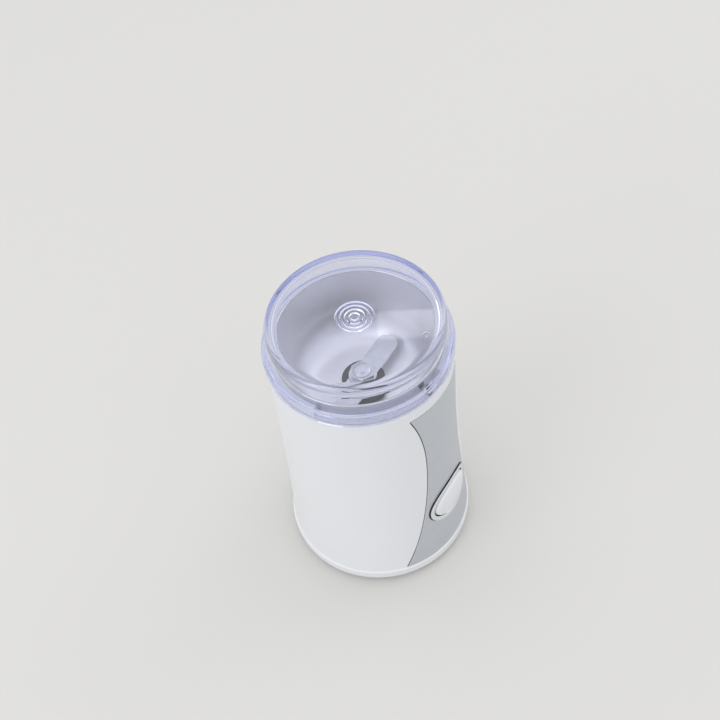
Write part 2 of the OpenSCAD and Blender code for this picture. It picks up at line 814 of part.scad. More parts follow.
module cooling_fan() {
    hub_r = 7;
    z0 = fan_top - fan_h;
    color(white) difference() {
        union() {
            translate([0, 0, z0]) cylinder(r = fan_r, h = 1.4);
            translate([0, 0, z0]) cylinder(r = hub_r, h = fan_h);
            for (i = [0 : fan_blades - 1]) rotate([0, 0, i * 360 / fan_blades])
                translate([hub_r - 1, 0, z0]) rotate([0, 0, 18]) intersection() {
                    translate([0, -0.7, 0]) cube([fan_r, 1.4, fan_h]);
                    rotate([0, 0, -18]) translate([1 - hub_r, 0, 0]) cylinder(r = fan_r - 0.2, h = fan_h);
                }
        }
        translate([0, 0, z0 - cut]) cylinder(r = shaft_r + press, h = fan_h + 2 * cut);
    }
}

// ---------- motor frame ----------

module at_bolts() {
    for (sx = [-1, 1], sy = [-1, 1]) translate([sx * bolt_x, sy * bolt_y, 0]) children();
}

module at_dampers() {
    for (sx = [-1, 1], sy = [-1, 1]) translate([sx * damper_x, sy * damper_y, 0]) children();
}

// Plan outline shared by the core and both brackets
module frame_plan(h) {
    intersection() {
        cylinder(r = stator_r, h = h);
        translate([-stator_r + 2, -stator_r + 5, 0]) cube([2 * stator_r - 4, 2 * stator_r - 10, h]);
    }
}

// Air windows through a bracket of thickness t, on both sides of its bearing boss
module air_windows(z0, t) {
    for (side = [0, 180]) rotate([0, 0, side])
        translate([-air_window.x / 2, bearing_r + 4, z0 - cut]) cube([air_window.x, air_window.y, t + 2 * cut]);
}

coil_x0 = armature_r + air_gap + 1.2;
coil_x1 = stator_r - 5.8;
pole_half = 9;
coil_half = 15;

module stator_core() {
    color(steel) translate([0, 0, stack_bottom]) difference() {
        frame_plan(stack_h);
        translate([0, 0, -cut]) cylinder(r = armature_r + air_gap, h = stack_h + 2 * cut);
        for (sx = [-1, 1], sy = [-1, 1])
            translate([sx > 0 ? coil_x0 - 0.3 : -coil_x1 - 0.3, sy > 0 ? pole_half : -coil_half - 0.3, -cut])
                cube([coil_x1 - coil_x0 + 0.6, coil_half - pole_half + 0.3, stack_h + 2 * cut]);
        at_bolts() translate([0, 0, -cut]) cylinder(r = bolt_r + slip, h = stack_h + 2 * cut);
    }
}

module field_coils() {
    width = coil_x1 - coil_x0;
    color(copper) for (side = [0, 180]) rotate([0, 0, side]) translate([coil_x0, 0, 0]) difference() {
        translate([0, -coil_half, stack_bottom - coil_over]) cube([width, 2 * coil_half, stack_h + 2 * coil_over]);
        translate([-1, -pole_half - 0.3, stack_bottom - 0.3])
            cube([width + 2, 2 * pole_half + 0.6, stack_h + 0.6]);
        // chamfered corners
        for (sy = [-1, 1], z = [stack_bottom - coil_over, stack_top + coil_over])
            translate([-1, sy * coil_half, z]) rotate([45, 0, 0]) translate([0, -2, -2]) cube([width + 2, 4, 4]);
    }
}

module upper_bracket() {
    color(silver) difference() {
        union() {
            translate([0, 0, bracket_bottom]) frame_plan(bracket_t);
            at_bolts() translate([0, 0, stack_top]) cylinder(r = pillar_r, h = bracket_bottom - stack_top + cut);
            translate([0, 0, bracket_bottom]) cylinder(r = bearing_r + 2.4, h = bracket_t + bearing_h);
        }
        translate([0, 0, bracket_bottom + 1]) cylinder(r = bearing_r + press, h = 20);
        translate([0, 0, bracket_bottom - cut]) cylinder(r = shaft_r + 1.5, h = 5);
        at_bolts() translate([0, 0, stack_top - cut]) cylinder(r = bolt_r + slip, h = 20);
        at_dampers() translate([0, 0, bracket_bottom - cut]) cylinder(r = motor_screw_r + run, h = 5);
        air_windows(bracket_bottom, bracket_t);
    }
}

module upper_bearing() {
    color(brass) ring(bearing_r, shaft_r + run, bracket_bottom + 1, bracket_bottom + 1 + bearing_h + 1);
}

module lower_bracket() {
    color(silver) difference() {
        union() {
            translate([0, 0, lower_bottom]) frame_plan(lower_t);
            at_bolts() translate([0, 0, lower_bottom]) cylinder(r = pillar_r, h = stack_bottom - lower_bottom);
            translate([0, 0, lower_bottom - boss_h]) cylinder(r = bearing_r + 2.4, h = boss_h + cut);
            // seats of the brush holders
            for (side = [0, 180]) rotate([0, 0, side]) translate([holder_start + 2, -holder_w / 2, lower_top - cut])
                cube([holder_end - holder_start - 2.5, holder_w, 2 + cut]);
        }
        translate([0, 0, lower_bottom - boss_h - cut]) cylinder(r = bearing_r + press, h = boss_h + cut);
        translate([0, 0, lower_bottom - 1]) cylinder(r = shaft_r + 1.5, h = 10);
        at_bolts() translate([0, 0, lower_bottom - cut])
            cylinder(r = bolt_r + slip, h = stack_bottom - lower_bottom + 2 * cut);
        air_windows(lower_bottom, lower_t);
    }
}

module lower_bearing() {
    z1 = lower_bottom - 0.4;
    color(brass) ring(bearing_r, shaft_r + run, z1 - bearing_h, z1);
}

module stator_bolts() {
    top = bracket_top + 3;
    color(steel) at_bolts() {
        translate([0, 0, lower_bottom - 2]) cylinder(r = bolt_r, h = top - lower_bottom + 2);
        translate([0, 0, lower_bottom - 2]) cylinder(r = bolt_head_r, h = 2);
        translate([0, 0, bracket_top]) cylinder(r = bolt_head_r, h = 2.4, $fn = 6);
    }
}

module rubber_dampers() {
    color(black) at_dampers() ring(damper_r, motor_screw_r + slip, bracket_top, plate_bottom);
}

module motor_screws() {
    color(steel) at_dampers() {
        translate([0, 0, bracket_bottom]) cylinder(r = motor_screw_r, h = plate_top - bracket_bottom + 0.5);
        translate([0, 0, plate_top]) cylinder(r = 2.6, h = 1.8);
    }
}

module brush_holders() {
    color(brass) for (side = [0, 180]) rotate([0, 0, side]) difference() {
        translate([holder_start, -holder_w / 2, brush_z - holder_h / 2])
            cube([holder_end - holder_start, holder_w, holder_h]);
        translate([holder_start - 1, -brush_w / 2 - 0.1, brush_z - brush_w / 2 - 0.1])
            cube([holder_end - holder_start, brush_w + 0.2, brush_w + 0.2]);
    }
}

brush_end = commutator_r + 10.5;

module carbon_brushes() {
    color(black) for (side = [0, 180]) rotate([0, 0, side])
        translate([commutator_r + 0.15, -brush_w / 2, brush_z - brush_w / 2])
            cube([brush_end - commutator_r - 0.15, brush_w, brush_w]);
}

module brush_springs() {
    color(steel) for (side = [0, 180]) rotate([0, 0, side]) translate([brush_end + 0.1, 0, brush_z])
        rotate([0, 90, 0]) coil_spring(brush_w / 2 - 0.5, 0.3, holder_end - 1 - brush_end - 0.2, 5);
}

module thermal_fuse() {
    r = 1.8;
    color(white) translate([(coil_x0 + coil_x1) / 2, 0, stack_bottom - coil_over - r - 0.1])
        y_rod(r, -5, 5);
}

// ---------- base ----------

module base_cover() {
    steps = 6;
    step_r = 0.5;
    haunch = 3;            // bevel between the floor plate and the rim
    color(white) difference() {
        union() {
            rotate_extrude() polygon(concat(
                [[0, foot_proud]],
                [for (i = [0 : steps]) let (t = 90 * i / steps)
                    [base_r - base_round * (1 - sin(t)), foot_proud + base_round * (1 - cos(t))]],
                [[base_r, base_top - step_r], [base_r - step_r, base_top], [foot_r - wall, base_top],
                    [foot_r - wall, base_floor + haunch], [foot_r - wall - haunch, base_floor], [0, base_floor]]));
            for (a = base_post_angles) rotate([0, 0, a]) translate([base_post_circle_r, 0, foot_proud + 1])
                cylinder(r = base_boss_r, h = base_top - foot_proud - 1);
        }
        for (a = base_post_angles) rotate([0, 0, a]) translate([base_post_circle_r, 0, foot_proud - cut]) {
            cylinder(r = base_screw_r + slip, h = base_top);
            cylinder(r = base_seat_r, h = base_seat_h);
        }
        for (a = foot_angles) rotate([0, 0, a]) translate([foot_circle_r, 0, foot_proud - cut])
            cylinder(r = foot_pad_r + slip, h = foot_seat_h + cut);
        // cooling slots under the fan
        for (i = [-2 : 2]) translate([i * slot_pitch - slot_w / 2, slot_y, foot_proud - cut])
            cube([slot_w, slot_len, base_plate_t + 2 * cut]);
    }
}

module base_screws() {
    head_z = base_seat_h - cut - base_head_t;
    color(steel) for (a = base_post_angles) rotate([0, 0, a]) translate([base_post_circle_r, 0, foot_proud]) {
        translate([0, 0, head_z + cut]) cylinder(r = base_screw_r, h = base_top - foot_proud + 8);
        translate([0, 0, head_z]) cylinder(r = base_head_r, h = base_head_t);
    }
}

module rubber_feet() {
    color(black) for (a = foot_angles) rotate([0, 0, a]) translate([foot_circle_r, 0, 0])
        cylinder(r = foot_pad_r, h = foot_proud + foot_seat_h);
}

module cord_gland() {
    color(white) translate([0, 0, cord_inlet_z]) difference() {
        union() {
            y_rod(gland_r, gland_seat_y - gland_sleeve, gland_seat_y + 1);
            y_rod(gland_flange_r, gland_seat_y, gland_seat_y + gland_flange_t);
        }
        y_rod(cord_bore_r, gland_seat_y - gland_sleeve - 1, gland_seat_y + gland_flange_t + 1);
    }
}

module cord_clamp() {
    channel_r = cord_bore_r - 0.2;
    color(black) translate([0, foot_room_r, base_floor]) difference() {
        translate([-clamp_size.x / 2, 0, 0]) cube(clamp_size);
        translate([0, 0, clamp_channel_z]) y_rod(channel_r, -1, clamp_size.y + 1);
        translate([-channel_r, -1, -1]) cube([2 * channel_r, clamp_size.y + 2, clamp_channel_z + 1]);
    }
}

module terminal_block() {
    color(white) rotate([0, 0, terminal_angle]) translate([foot_room_r, 0, base_floor]) difference() {
        translate([0, -terminal_size.y / 2, 0]) cube(terminal_size);
        for (side = [-1, 1])
            translate([terminal_size.x / 2, side * terminal_size.y / 4, terminal_size.z - terminal_hole_h])
                cylinder(r = terminal_hole_r, h = terminal_hole_h + cut);
    }
}

module suppressor_capacitor() {
    color([0.85, 0.70, 0.20]) rotate([0, 0, 180]) translate([foot_room_r, -capacitor_size.y / 2, base_floor])
        cube(capacitor_size);
}

// A point beside the terminal block, so far off its end and above the floor
function off_block(away, z) = let (x = foot_room_r + terminal_size.x / 2, y = -terminal_size.y / 2 - away)
    [x * cos(terminal_angle) - y * sin(terminal_angle), x * sin(terminal_angle) + y * cos(terminal_angle), z];

// From the terminal block round the fan, one above the other, and up behind the switch plate to its lower tabs
module mains_leads() {
    lane_r = foot_room_r + lead_r + lead_gap;
    rise_y = switch_plate_y + switch_plate_t + lead_r + 0.3;
    end_z = switch_box_z0 - tab_low - joint_gap;
    color(black) for (sx = [-1, 1]) let (z = base_floor + (sx > 0 ? 5.5 : 2.5), last = sx > 0 ? -70 : -90)
        lead(concat([off_block(joint_gap, z), off_block(3, z)],
            [for (a = [10 : -20 : last]) [lane_r * cos(a), lane_r * sin(a), z]],
            [[sx * tab_x, rise_y, z + 4], [sx * tab_x, rise_y, end_z - 6],
                [sx * tab_x, tab_y, end_z - 3], [sx * tab_x, tab_y, end_z]]), lead_r);
}

// From the switch's upper tabs, round the lower bracket's pillars, to the brush holders
module motor_leads() {
    start_x = tab_x + tab_w / 2 + joint_gap;
    start_z = switch_box_z0 + switch_box_h + tab_high / 2;
    drop = 3.2;
    turn_z = stack_bottom - drop;
    turn_x = bolt_x + pillar_r + lead_r + 0.7;
    turn_y = -bolt_y - pillar_r - lead_r - 0.2;
    holder_x = holder_end - 2;
    end_z = brush_z + holder_h / 2 + joint_gap;
    color(black) for (sx = [-1, 1]) lead([
        [sx * start_x, tab_y, start_z], [sx * (start_x + 5), tab_y + 0.8, start_z + 0.5],
        [sx * turn_x, turn_y, turn_z], [sx * (holder_x + 3), -holder_w - 1, turn_z],
        [sx * holder_x, 0, turn_z - 1], [sx * holder_x, 0, end_z]], lead_r);
}

body_shell();
side_panel();
button_bezel();
power_button();
button_spring();
switch_housing();
switch_plunger();
switch_contacts();
switch_screws();
lid_collar();
bowl_chassis();
grinding_bowl();
bowl_gasket();
lid();
interlock_pin();
interlock_spring();
drive_shaft();
blade();
blade_nut();
slinger_washer();
shaft_seal();
upper_bearing();
lower_bearing();
upper_bracket();
lower_bracket();
stator_core();
field_coils();
armature_core();
armature_windings();
commutator();
brush_holders();
carbon_brushes();
brush_springs();
cooling_fan();
rubber_dampers();
motor_screws();
stator_bolts();
base_cover();
base_screws();
rubber_feet();
cord_gland();
cord_clamp();
terminal_block();
suppressor_capacitor();
thermal_fuse();
mains_leads();
motor_leads();
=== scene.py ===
"""Looks of an electric spice grinder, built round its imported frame.

Sizes in the classes are in millimetres, and become metres only where a mesh is made. Places that the frame
knows are read from it, so each fine piece lies where its plain solid lies.
"""

import json
import logging
import math
from collections.abc import Callable, Sequence
from dataclasses import dataclass, field
from enum import Enum

import bmesh
import bpy
from mathutils import Matrix, Vector


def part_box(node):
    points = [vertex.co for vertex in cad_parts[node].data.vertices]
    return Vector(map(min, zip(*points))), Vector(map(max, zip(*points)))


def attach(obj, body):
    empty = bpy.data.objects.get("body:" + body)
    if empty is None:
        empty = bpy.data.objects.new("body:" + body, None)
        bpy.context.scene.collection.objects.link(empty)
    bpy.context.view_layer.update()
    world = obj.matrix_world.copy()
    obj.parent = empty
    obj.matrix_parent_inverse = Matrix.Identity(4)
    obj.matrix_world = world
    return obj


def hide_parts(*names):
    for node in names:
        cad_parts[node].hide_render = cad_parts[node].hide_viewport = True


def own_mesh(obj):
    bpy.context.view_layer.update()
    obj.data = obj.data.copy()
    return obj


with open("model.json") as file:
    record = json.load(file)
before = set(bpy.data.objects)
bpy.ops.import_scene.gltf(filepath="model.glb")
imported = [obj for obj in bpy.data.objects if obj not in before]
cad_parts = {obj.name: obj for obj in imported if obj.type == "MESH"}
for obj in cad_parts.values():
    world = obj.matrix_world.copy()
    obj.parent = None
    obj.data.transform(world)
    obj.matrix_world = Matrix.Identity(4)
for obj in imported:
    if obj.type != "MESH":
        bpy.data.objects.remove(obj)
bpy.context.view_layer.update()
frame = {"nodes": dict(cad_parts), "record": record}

LOG = logging.getLogger("spice_grinder")
MM = 0.001  # a millimetre in metres
UM = 1e-6  # a thousandth of a millimetre in metres
WELD = 0.002  # points closer than this, in millimetres, are one point
PAST = 1.0  # how far a cutting tool reaches past what it cuts, in millimetres
SHARP_DEG = 38.0  # faces that meet at more than this keep a hard edge
SIDE_WALL = 0.3  # a face whose normal has less than this along Y runs back from the front
COLUMNS = 192  # faces round a turned piece

POST_ANGLES = (0, 120, 240)  # where the base screws and their posts stand, in degrees from +X
PIN_ANGLE = -100.0  # where the interlock pin and the lug over it stand
PIN_SLOT_W = 2.7  # width of the slots that the pin runs in

Point = tuple[float, float, float]
Profile = list[tuple[float, float]]


class Body(Enum):
    """The bodies of the frame that new pieces ride on."""

    HOUSING = "housing"
    LID = "lid"
    BUTTON = "button"
    ROTOR = "rotor"


class Slot(Enum):
    """The record's material slots."""

    WHITE = "white_plastic"
    SILVER = "silver_plastic"
    CHROME = "chrome_plate"
    CLEAR = "clear_plastic"
    STAINLESS = "stainless_steel"
    ZINC = "zinc_steel"
    LAMINATIONS = "lamination_steel"
    COPPER = "copper_wire"
    BRASS = "brass_part"
    RUBBER = "black_rubber"
    BLACK = "black_plastic"
    NYLON = "natural_nylon"
    CARBON = "carbon"
    CAST = "bracket_metal"
    CAPACITOR = "capacitor_plastic"


class Carve(Enum):
    """What a tool does to the piece that it meets."""

    CUT = "DIFFERENCE"
    JOIN = "UNION"


# ---------- colours and nodes ----------


def linear(code: str) -> tuple[float, float, float, float]:
    """Turns an sRGB hex colour into Blender's linear colour.

    Args:
        code: a colour such as "#E8E9EC".

    Returns:
        Linear red, green and blue, and an alpha of 1.
    """
    parts = [int(code[i : i + 2], 16) / 255 for i in (1, 3, 5)]
    red, green, blue = (c / 12.92 if c <= 0.04045 else ((c + 0.055) / 1.055) ** 2.4 for c in parts)
    return red, green, blue, 1.0


def add_node(tree: bpy.types.NodeTree, kind: str, inputs: dict | None = None, **settings) -> bpy.types.Node:
    """Adds one node, with its settings and what goes into it.

    Args:
        tree: the tree that the node joins.
        kind: Blender's name of the node.
        inputs: sockets by name or number, each with a value or with the output that is linked to it.
        **settings: the node's own properties.

    Returns:
        The new node.
    """
    node = tree.nodes.new(kind)
    for name, value in settings.items():
        setattr(node, name, value)
    for socket, value in (inputs or {}).items():
        if isinstance(value, bpy.types.NodeSocket):
            tree.links.new(value, node.inputs[socket])
        else:
            node.inputs[socket].default_value = value
    return node


# ---------- finishes ----------


@dataclass(frozen=True)
class Finish:
    """A surface: its name, colour, gloss and the fine pattern that its making leaves.

    The pattern has a grain, which is bump, and clouds, which are slow changes of gloss and tone. A spot of
    the grain is grain_mm wide and grain_um deep, and a cloud is cloud_mm wide.
    """

    name: str
    colour: str
    roughness: float
    metallic: float = 0.0
    ior: float = 1.5
    grain_mm: float = 1.0
    grain_um: float = 1.0
    cloud_mm: float = 20.0
    cloud_share: float = 0.03
    gloss_swing: float = 0.04

    def material(self) -> bpy.types.Material:
        """Makes the finish's material, or finds it where it is made already.

        Returns:
            The material.
        """
        made = bpy.data.materials.get(self.name)
        if made is None:
            made = bpy.data.materials.new(self.name)
            made.use_nodes = True
            tree = made.node_tree
            tree.nodes.clear()
            add_node(tree, "ShaderNodeOutputMaterial", {"Surface": self.surface(tree)})
        return made

    def grid(self, tree: bpy.types.NodeTree) -> bpy.types.NodeSocket:
        """Returns the coordinates that the pattern is drawn in: the piece's own, in metres."""
        return add_node(tree, "ShaderNodeTexCoord").outputs["Object"]

    def height(self, tree: bpy.types.NodeTree, place: bpy.types.NodeSocket) -> bpy.types.NodeSocket:
        """Returns the grain's height, from 0 to 1."""
        grain = {"Vector": place, "Scale": 1 / (self.grain_mm * MM), "Detail": 3.0, "Roughness": 0.55}
        return add_node(tree, "ShaderNodeTexNoise", grain).outputs["Fac"]

    def tone(
        self, tree: bpy.types.NodeTree, place: bpy.types.NodeSocket, cloud: bpy.types.NodeSocket
    ) -> bpy.types.NodeSocket:
        """Makes the colour, a little darker in the clouds.

        Args:
            tree: the material's tree.
            place: the pattern's coordinates.
            cloud: the clouds, from 0 to 1.

        Returns:
            The colour.
        """
        light = linear(self.colour)
        dark = tuple(c * (1 - self.cloud_share) for c in light[:3]) + (1.0,)
        # sockets 6 and 7 of this node are its two colours, and output 2 is their mix
        mix = add_node(tree, "ShaderNodeMix", {"Factor": cloud, 6: light, 7: dark}, data_type="RGBA")
        return mix.outputs[2]

    def surface(self, tree: bpy.types.NodeTree) -> bpy.types.NodeSocket:
        """Builds the nodes of the surface.

        Args:
            tree: the material's empty tree.

        Returns:
            The shader that the material's output shows.
        """
        place = self.grid(tree)
        clouds = {"Vector": place, "Scale": 1 / (self.cloud_mm * MM), "Detail": 4.0}
        cloud = add_node(tree, "ShaderNodeTexNoise", clouds).outputs["Fac"]
        # nearly all of the noise lies between 0.3 and 0.7
        swing = {
            "Value": cloud, "From Min": 0.3, "From Max": 0.7,
            "To Min": self.roughness - self.gloss_swing, "To Max": self.roughness + self.gloss_swing,
        }
        rough = add_node(tree, "ShaderNodeMapRange", swing).outputs["Result"]
        bump = {"Height": self.height(tree, place), "Strength": 1.0, "Distance": self.grain_um * UM}
        normal = add_node(tree, "ShaderNodeBump", bump).outputs["Normal"]
        shader = {
            "Base Color": self.tone(tree, place, cloud), "Roughness": rough, "Normal": normal,
            "Metallic": self.metallic,
        }
        if not self.metallic:
            shader["IOR"] = self.ior
        return add_node(tree, "ShaderNodeBsdfPrincipled", shader | self.extras(tree)).outputs["BSDF"]

    def extras(self, tree: bpy.types.NodeTree) -> dict:
        """Returns further sockets of the shader, for a finish that needs them."""
        return {}


@dataclass(frozen=True)
class FlakePaint(Finish):
    """Silver paint: fine metal flakes lie in it at all angles, and a thin lacquer lies over them."""

    flake_mm: float = 0.4
    lacquer: float = 0.15
    lacquer_roughness: float = 0.2

    def tone(
        self, tree: bpy.types.NodeTree, place: bpy.types.NodeSocket, cloud: bpy.types.NodeSocket
    ) -> bpy.types.NodeSocket:
        """Makes the colour, in which each flake has a shade of its own.

        Args:
            tree: the material's tree.
            place: the pattern's coordinates.
            cloud: the clouds, which the flakes stand in for.

        Returns:
            The colour.
        """
        cells = {"Vector": place, "Scale": 1 / (self.flake_mm * MM)}
        flake = add_node(tree, "ShaderNodeTexVoronoi", cells).outputs["Color"]
        return super().tone(tree, place, add_node(tree, "ShaderNodeSeparateColor", {0: flake}).outputs[0])

    def extras(self, tree: bpy.types.NodeTree) -> dict:
        """Returns the lacquer."""
        return {"Coat Weight": self.lacquer, "Coat Roughness": self.lacquer_roughness}


@dataclass(frozen=True)
class BrushedMetal(Finish):
    """Metal brushed while it turns: fine lines run round the axis, and highlights spread across them."""

    line_mm: float = 0.35
    streak_mm: float = 90.0
    spread: float = 0.55

    def grid(self, tree: bpy.types.NodeTree) -> bpy.types.NodeSocket:
        """Makes coordinates that are stretched round the axis, and fine from the lip to the centre.

        Args:
            tree: the material's tree.

        Returns:
            The coordinates.
        """
        place = add_node(tree, "ShaderNodeTexCoord").outputs["Object"]
        level = {0: place, 1: (1.0, 1.0, 0.0)}
        flat = add_node(tree, "ShaderNodeVectorMath", level, operation="MULTIPLY").outputs[0]
        out = add_node(tree, "ShaderNodeVectorMath", {0: flat}, operation="LENGTH").outputs["Value"]
        parts = add_node(tree, "ShaderNodeSeparateXYZ", {0: place}).outputs
        along = add_node(tree, "ShaderNodeMath", {0: out, 1: parts["Z"]}, operation="ADD").outputs[0]
        finer = self.streak_mm / self.line_mm
        lines = add_node(tree, "ShaderNodeMath", {0: along, 1: finer}, operation="MULTIPLY").outputs[0]
        return add_node(tree, "ShaderNodeCombineXYZ", {0: parts["X"], 1: parts["Y"], 2: lines}).outputs[0]

    def height(self, tree: bpy.types.NodeTree, place: bpy.types.NodeSocket) -> bpy.types.NodeSocket:
        """Returns the height of the brushed lines."""
        lines = {"Vector": place, "Scale": 1 / (self.streak_mm * MM), "Detail": 5.0, "Roughness": 0.7}
        return add_node(tree, "ShaderNodeTexNoise", lines).outputs["Fac"]

    def extras(self, tree: bpy.types.NodeTree) -> dict:
        """Returns the spread of highlights across the lines."""
        round_axis = add_node(tree, "ShaderNodeTangent", direction_type="RADIAL", axis="Z").outputs[0]
        return {"Anisotropic": self.spread, "Tangent": round_axis}


@dataclass(frozen=True)
class Layered(Finish):
    """Stacked sheets or wound wire: even bands, one to a layer, along one axis."""

    layer_mm: float = 0.6
    along: str = "Z"

    def height(self, tree: bpy.types.NodeTree, place: bpy.types.NodeSocket) -> bpy.types.NodeSocket:
        """Makes the height of the layers.

        Args:
            tree: the material's tree.
            place: the pattern's coordinates.

        Returns:
            The height, from 0 to 1.
        """
        # one band of this texture is a twentieth of a full turn long at a scale of 1
        bands = {"Vector": place, "Scale": 2 * math.pi / (20 * self.layer_mm * MM), "Distortion": 0.3}
        wave = add_node(tree, "ShaderNodeTexWave", bands, bands_direction=self.along, wave_profile="SIN")
        return wave.outputs["Fac"]


@dataclass(frozen=True)
class ClearPlastic(Finish):
    """Polished clear plastic, slightly tinted in its depth.

    Rays from lamps pass straight through it, so that what it covers is lit. A ray that has been thrown from
    wall to wall inside it a few times passes out too, so that its thick edges glow and don't go black.
    """

    shade: str = "#FBFBFE"
    depth_tint: str = "#0061EB"
    depth_density: float = 32.0
    inner_bounces: float = 2.5

    def material(self) -> bpy.types.Material:
        """Makes the finish's material with the tint in its depth, or finds it where it is made already.

        Returns:
            The material.
        """
        fresh = bpy.data.materials.get(self.name) is None
        made = super().material()
        if fresh:
            tree = made.node_tree
            out = next(node for node in tree.nodes if node.type == "OUTPUT_MATERIAL")
            tint = {"Color": linear(self.depth_tint), "Density": self.depth_density}
            depth = add_node(tree, "ShaderNodeVolumeAbsorption", tint)
            tree.links.new(depth.outputs["Volume"], out.inputs["Volume"])
        return made

    def surface(self, tree: bpy.types.NodeTree) -> bpy.types.NodeSocket:
        """Builds the clear surface, and the straight way out for lamps and trapped rays.

        Args:
            tree: the material's empty tree.

        Returns:
            The shader that the material's output shows.
        """
        place = self.grid(tree)
        bump = {"Height": self.height(tree, place), "Strength": 1.0, "Distance": self.grain_um * UM}
        clear = {
            "Base Color": linear(self.colour), "Roughness": self.roughness, "IOR": self.ior,
            "Transmission Weight": 1.0, "Normal": add_node(tree, "ShaderNodeBump", bump).outputs["Normal"],
        }
        seen = add_node(tree, "ShaderNodeBsdfPrincipled", clear).outputs["BSDF"]
        open_way = add_node(tree, "ShaderNodeBsdfTransparent", {"Color": linear(self.shade)}).outputs["BSDF"]
        path = add_node(tree, "ShaderNodeLightPath").outputs
        trapped = {0: path["Glossy Depth"], 1: self.inner_bounces}
        trapped_ray = add_node(tree, "ShaderNodeMath", trapped, operation="GREATER_THAN").outputs[0]
        either = {0: path["Is Shadow Ray"], 1: trapped_ray}
        straight = add_node(tree, "ShaderNodeMath", either, operation="MAXIMUM").outputs[0]
        return add_node(tree, "ShaderNodeMixShader", {0: straight, 1: seen, 2: open_way}).outputs[0]


# ABS from a polished mould: glossy, with an orange-peel ripple about a millimetre wide
WHITE_ABS = Finish(
    "moulded_white_abs", "#E9EBEE", 0.24, ior=1.54, grain_mm=1.6, grain_um=2.5,
    cloud_mm=35, cloud_share=0.02, gloss_swing=0.025,
)
# satin silver paint; real flakes are about 0.03 mm, and are drawn as coarse as they need to show
SILVER_PAINT = FlakePaint(
    "silver_painted_abs", "#CCD0D6", 0.42, metallic=0.55, grain_mm=0.5, grain_um=3, cloud_share=0.1,
)
# bright plating over a polished ring: a mirror with a very slow ripple
CHROME = Finish(
    "bright_chrome_plate", "#EFF2F7", 0.06, metallic=1, grain_mm=6, grain_um=1.5,
    cloud_share=0.02, gloss_swing=0.02,
)
# painted shade: the ring's side walls are coloured near black, so that a dark line of shade is drawn round
# the chrome where the seam beside it lies in shadow
BEZEL_FLANK_SHADE = Finish(
    "bezel_flank_painted_shade", "#141517", 0.5, ior=1.54, grain_mm=0.4, grain_um=6, cloud_mm=8,
)
# painted shade: the panel's edge is coloured dark grey, so that the seam round the panel shows as a dark line
# of shade
PANEL_EDGE_SHADE = Finish(
    "panel_edge_painted_shade", "#34363A", 0.55, ior=1.54, grain_mm=0.4, grain_um=6, cloud_mm=8,
)
# polished clear moulding: high gloss, and blue-violet where it is seen edge on
CLEAR_SAN = ClearPlastic("clear_moulded_san", "#FCFCFF", 0.008, ior=1.57, grain_mm=9, grain_um=3)
# spun bowl, brushed as it turned; real lines are about 0.05 mm, drawn wider so that they show
BRUSHED_BOWL = BrushedMetal(
    "brushed_stainless_steel", "#ECECED", 0.42, metallic=1, grain_um=1.2, cloud_mm=45, gloss_swing=0.06,
)
# the bowl's outside is left as bright as the sheet came from the rolls
BRIGHT_STEEL = Finish(
    "bright_rolled_stainless_steel", "#CFD0D3", 0.07, metallic=1, grain_mm=5, grain_um=3, gloss_swing=0.02,
)
# ground and polished blade stock, brighter than the bowl
GROUND_STEEL = Finish(
    "ground_stainless_steel", "#C9CBCF", 0.2, metallic=1, grain_mm=0.5, grain_um=0.8, cloud_mm=8,
)
# bright zinc: bluish, a little cloudy
ZINC = Finish(
    "zinc_plated_steel", "#B4B9C0", 0.34, metallic=1, grain_mm=0.6, grain_um=1, cloud_mm=3, cloud_share=0.12,
)
# varnished electrical sheet, half a millimetre a layer
LAMINATIONS = Layered(
    "varnished_laminations", "#6C6E72", 0.45, metallic=0.8, grain_um=60, layer_mm=0.5, cloud_mm=9,
)
# enamelled wire under a coat of varnish, a layer for each turn
COPPER = Layered(
    "enamelled_copper_wire", "#B5672F", 0.28, metallic=0.9, grain_um=90, layer_mm=0.7, cloud_mm=7,
)
# pressed brass, dulled by handling
BRASS = Finish(
    "satin_brass", "#C9A75A", 0.32, metallic=1, grain_mm=0.5, grain_um=1, cloud_mm=5, cloud_share=0.15,
)
# moulded rubber: matt, with the fine tooth of its mould
RUBBER = Finish(
    "black_nitrile_rubber", "#17181A", 0.7, ior=1.52, grain_mm=0.35, grain_um=12, cloud_mm=6,
    cloud_share=0.2,
)
# spark-eroded mould: an even fine grain that takes the shine off
BLACK_PLASTIC = Finish(
    "black_moulded_pbt", "#1E1F21", 0.48, ior=1.55, grain_mm=0.4, grain_um=8, cloud_mm=10,
)
# uncoloured nylon: waxy and slightly yellow
NYLON = Finish(
    "natural_nylon", "#DCD8C9", 0.4, ior=1.53, grain_mm=0.8, grain_um=3, cloud_mm=12, cloud_share=0.05,
)
# pressed carbon: dull, with bright specks of graphite
CARBON = Finish(
    "pressed_carbon", "#1B1B1D", 0.62, ior=1.6, grain_mm=0.3, grain_um=10, cloud_mm=0.8, cloud_share=0.4,
)
# die-cast and shaken bright: soft gloss over a pebbled skin
CAST_ALUMINIUM = Finish(
    "die_cast_aluminium", "#B9BBBF", 0.44, metallic=1, grain_mm=0.9, grain_um=14, cloud_mm=6,
)
# glossy moulded capacitor case
YELLOW_CASE = Finish(
    "moulded_yellow_case", "#D9B437", 0.3, ior=1.5, grain_mm=1.2, grain_um=3, cloud_mm=10,
)
# painted board under the grinder, matt and even
FLOOR_PAINT = Finish(
    "matt_floor_paint", "#D4D3D0", 0.75, grain_mm=1.2, grain_um=6, cloud_mm=400, cloud_share=0.015,
)

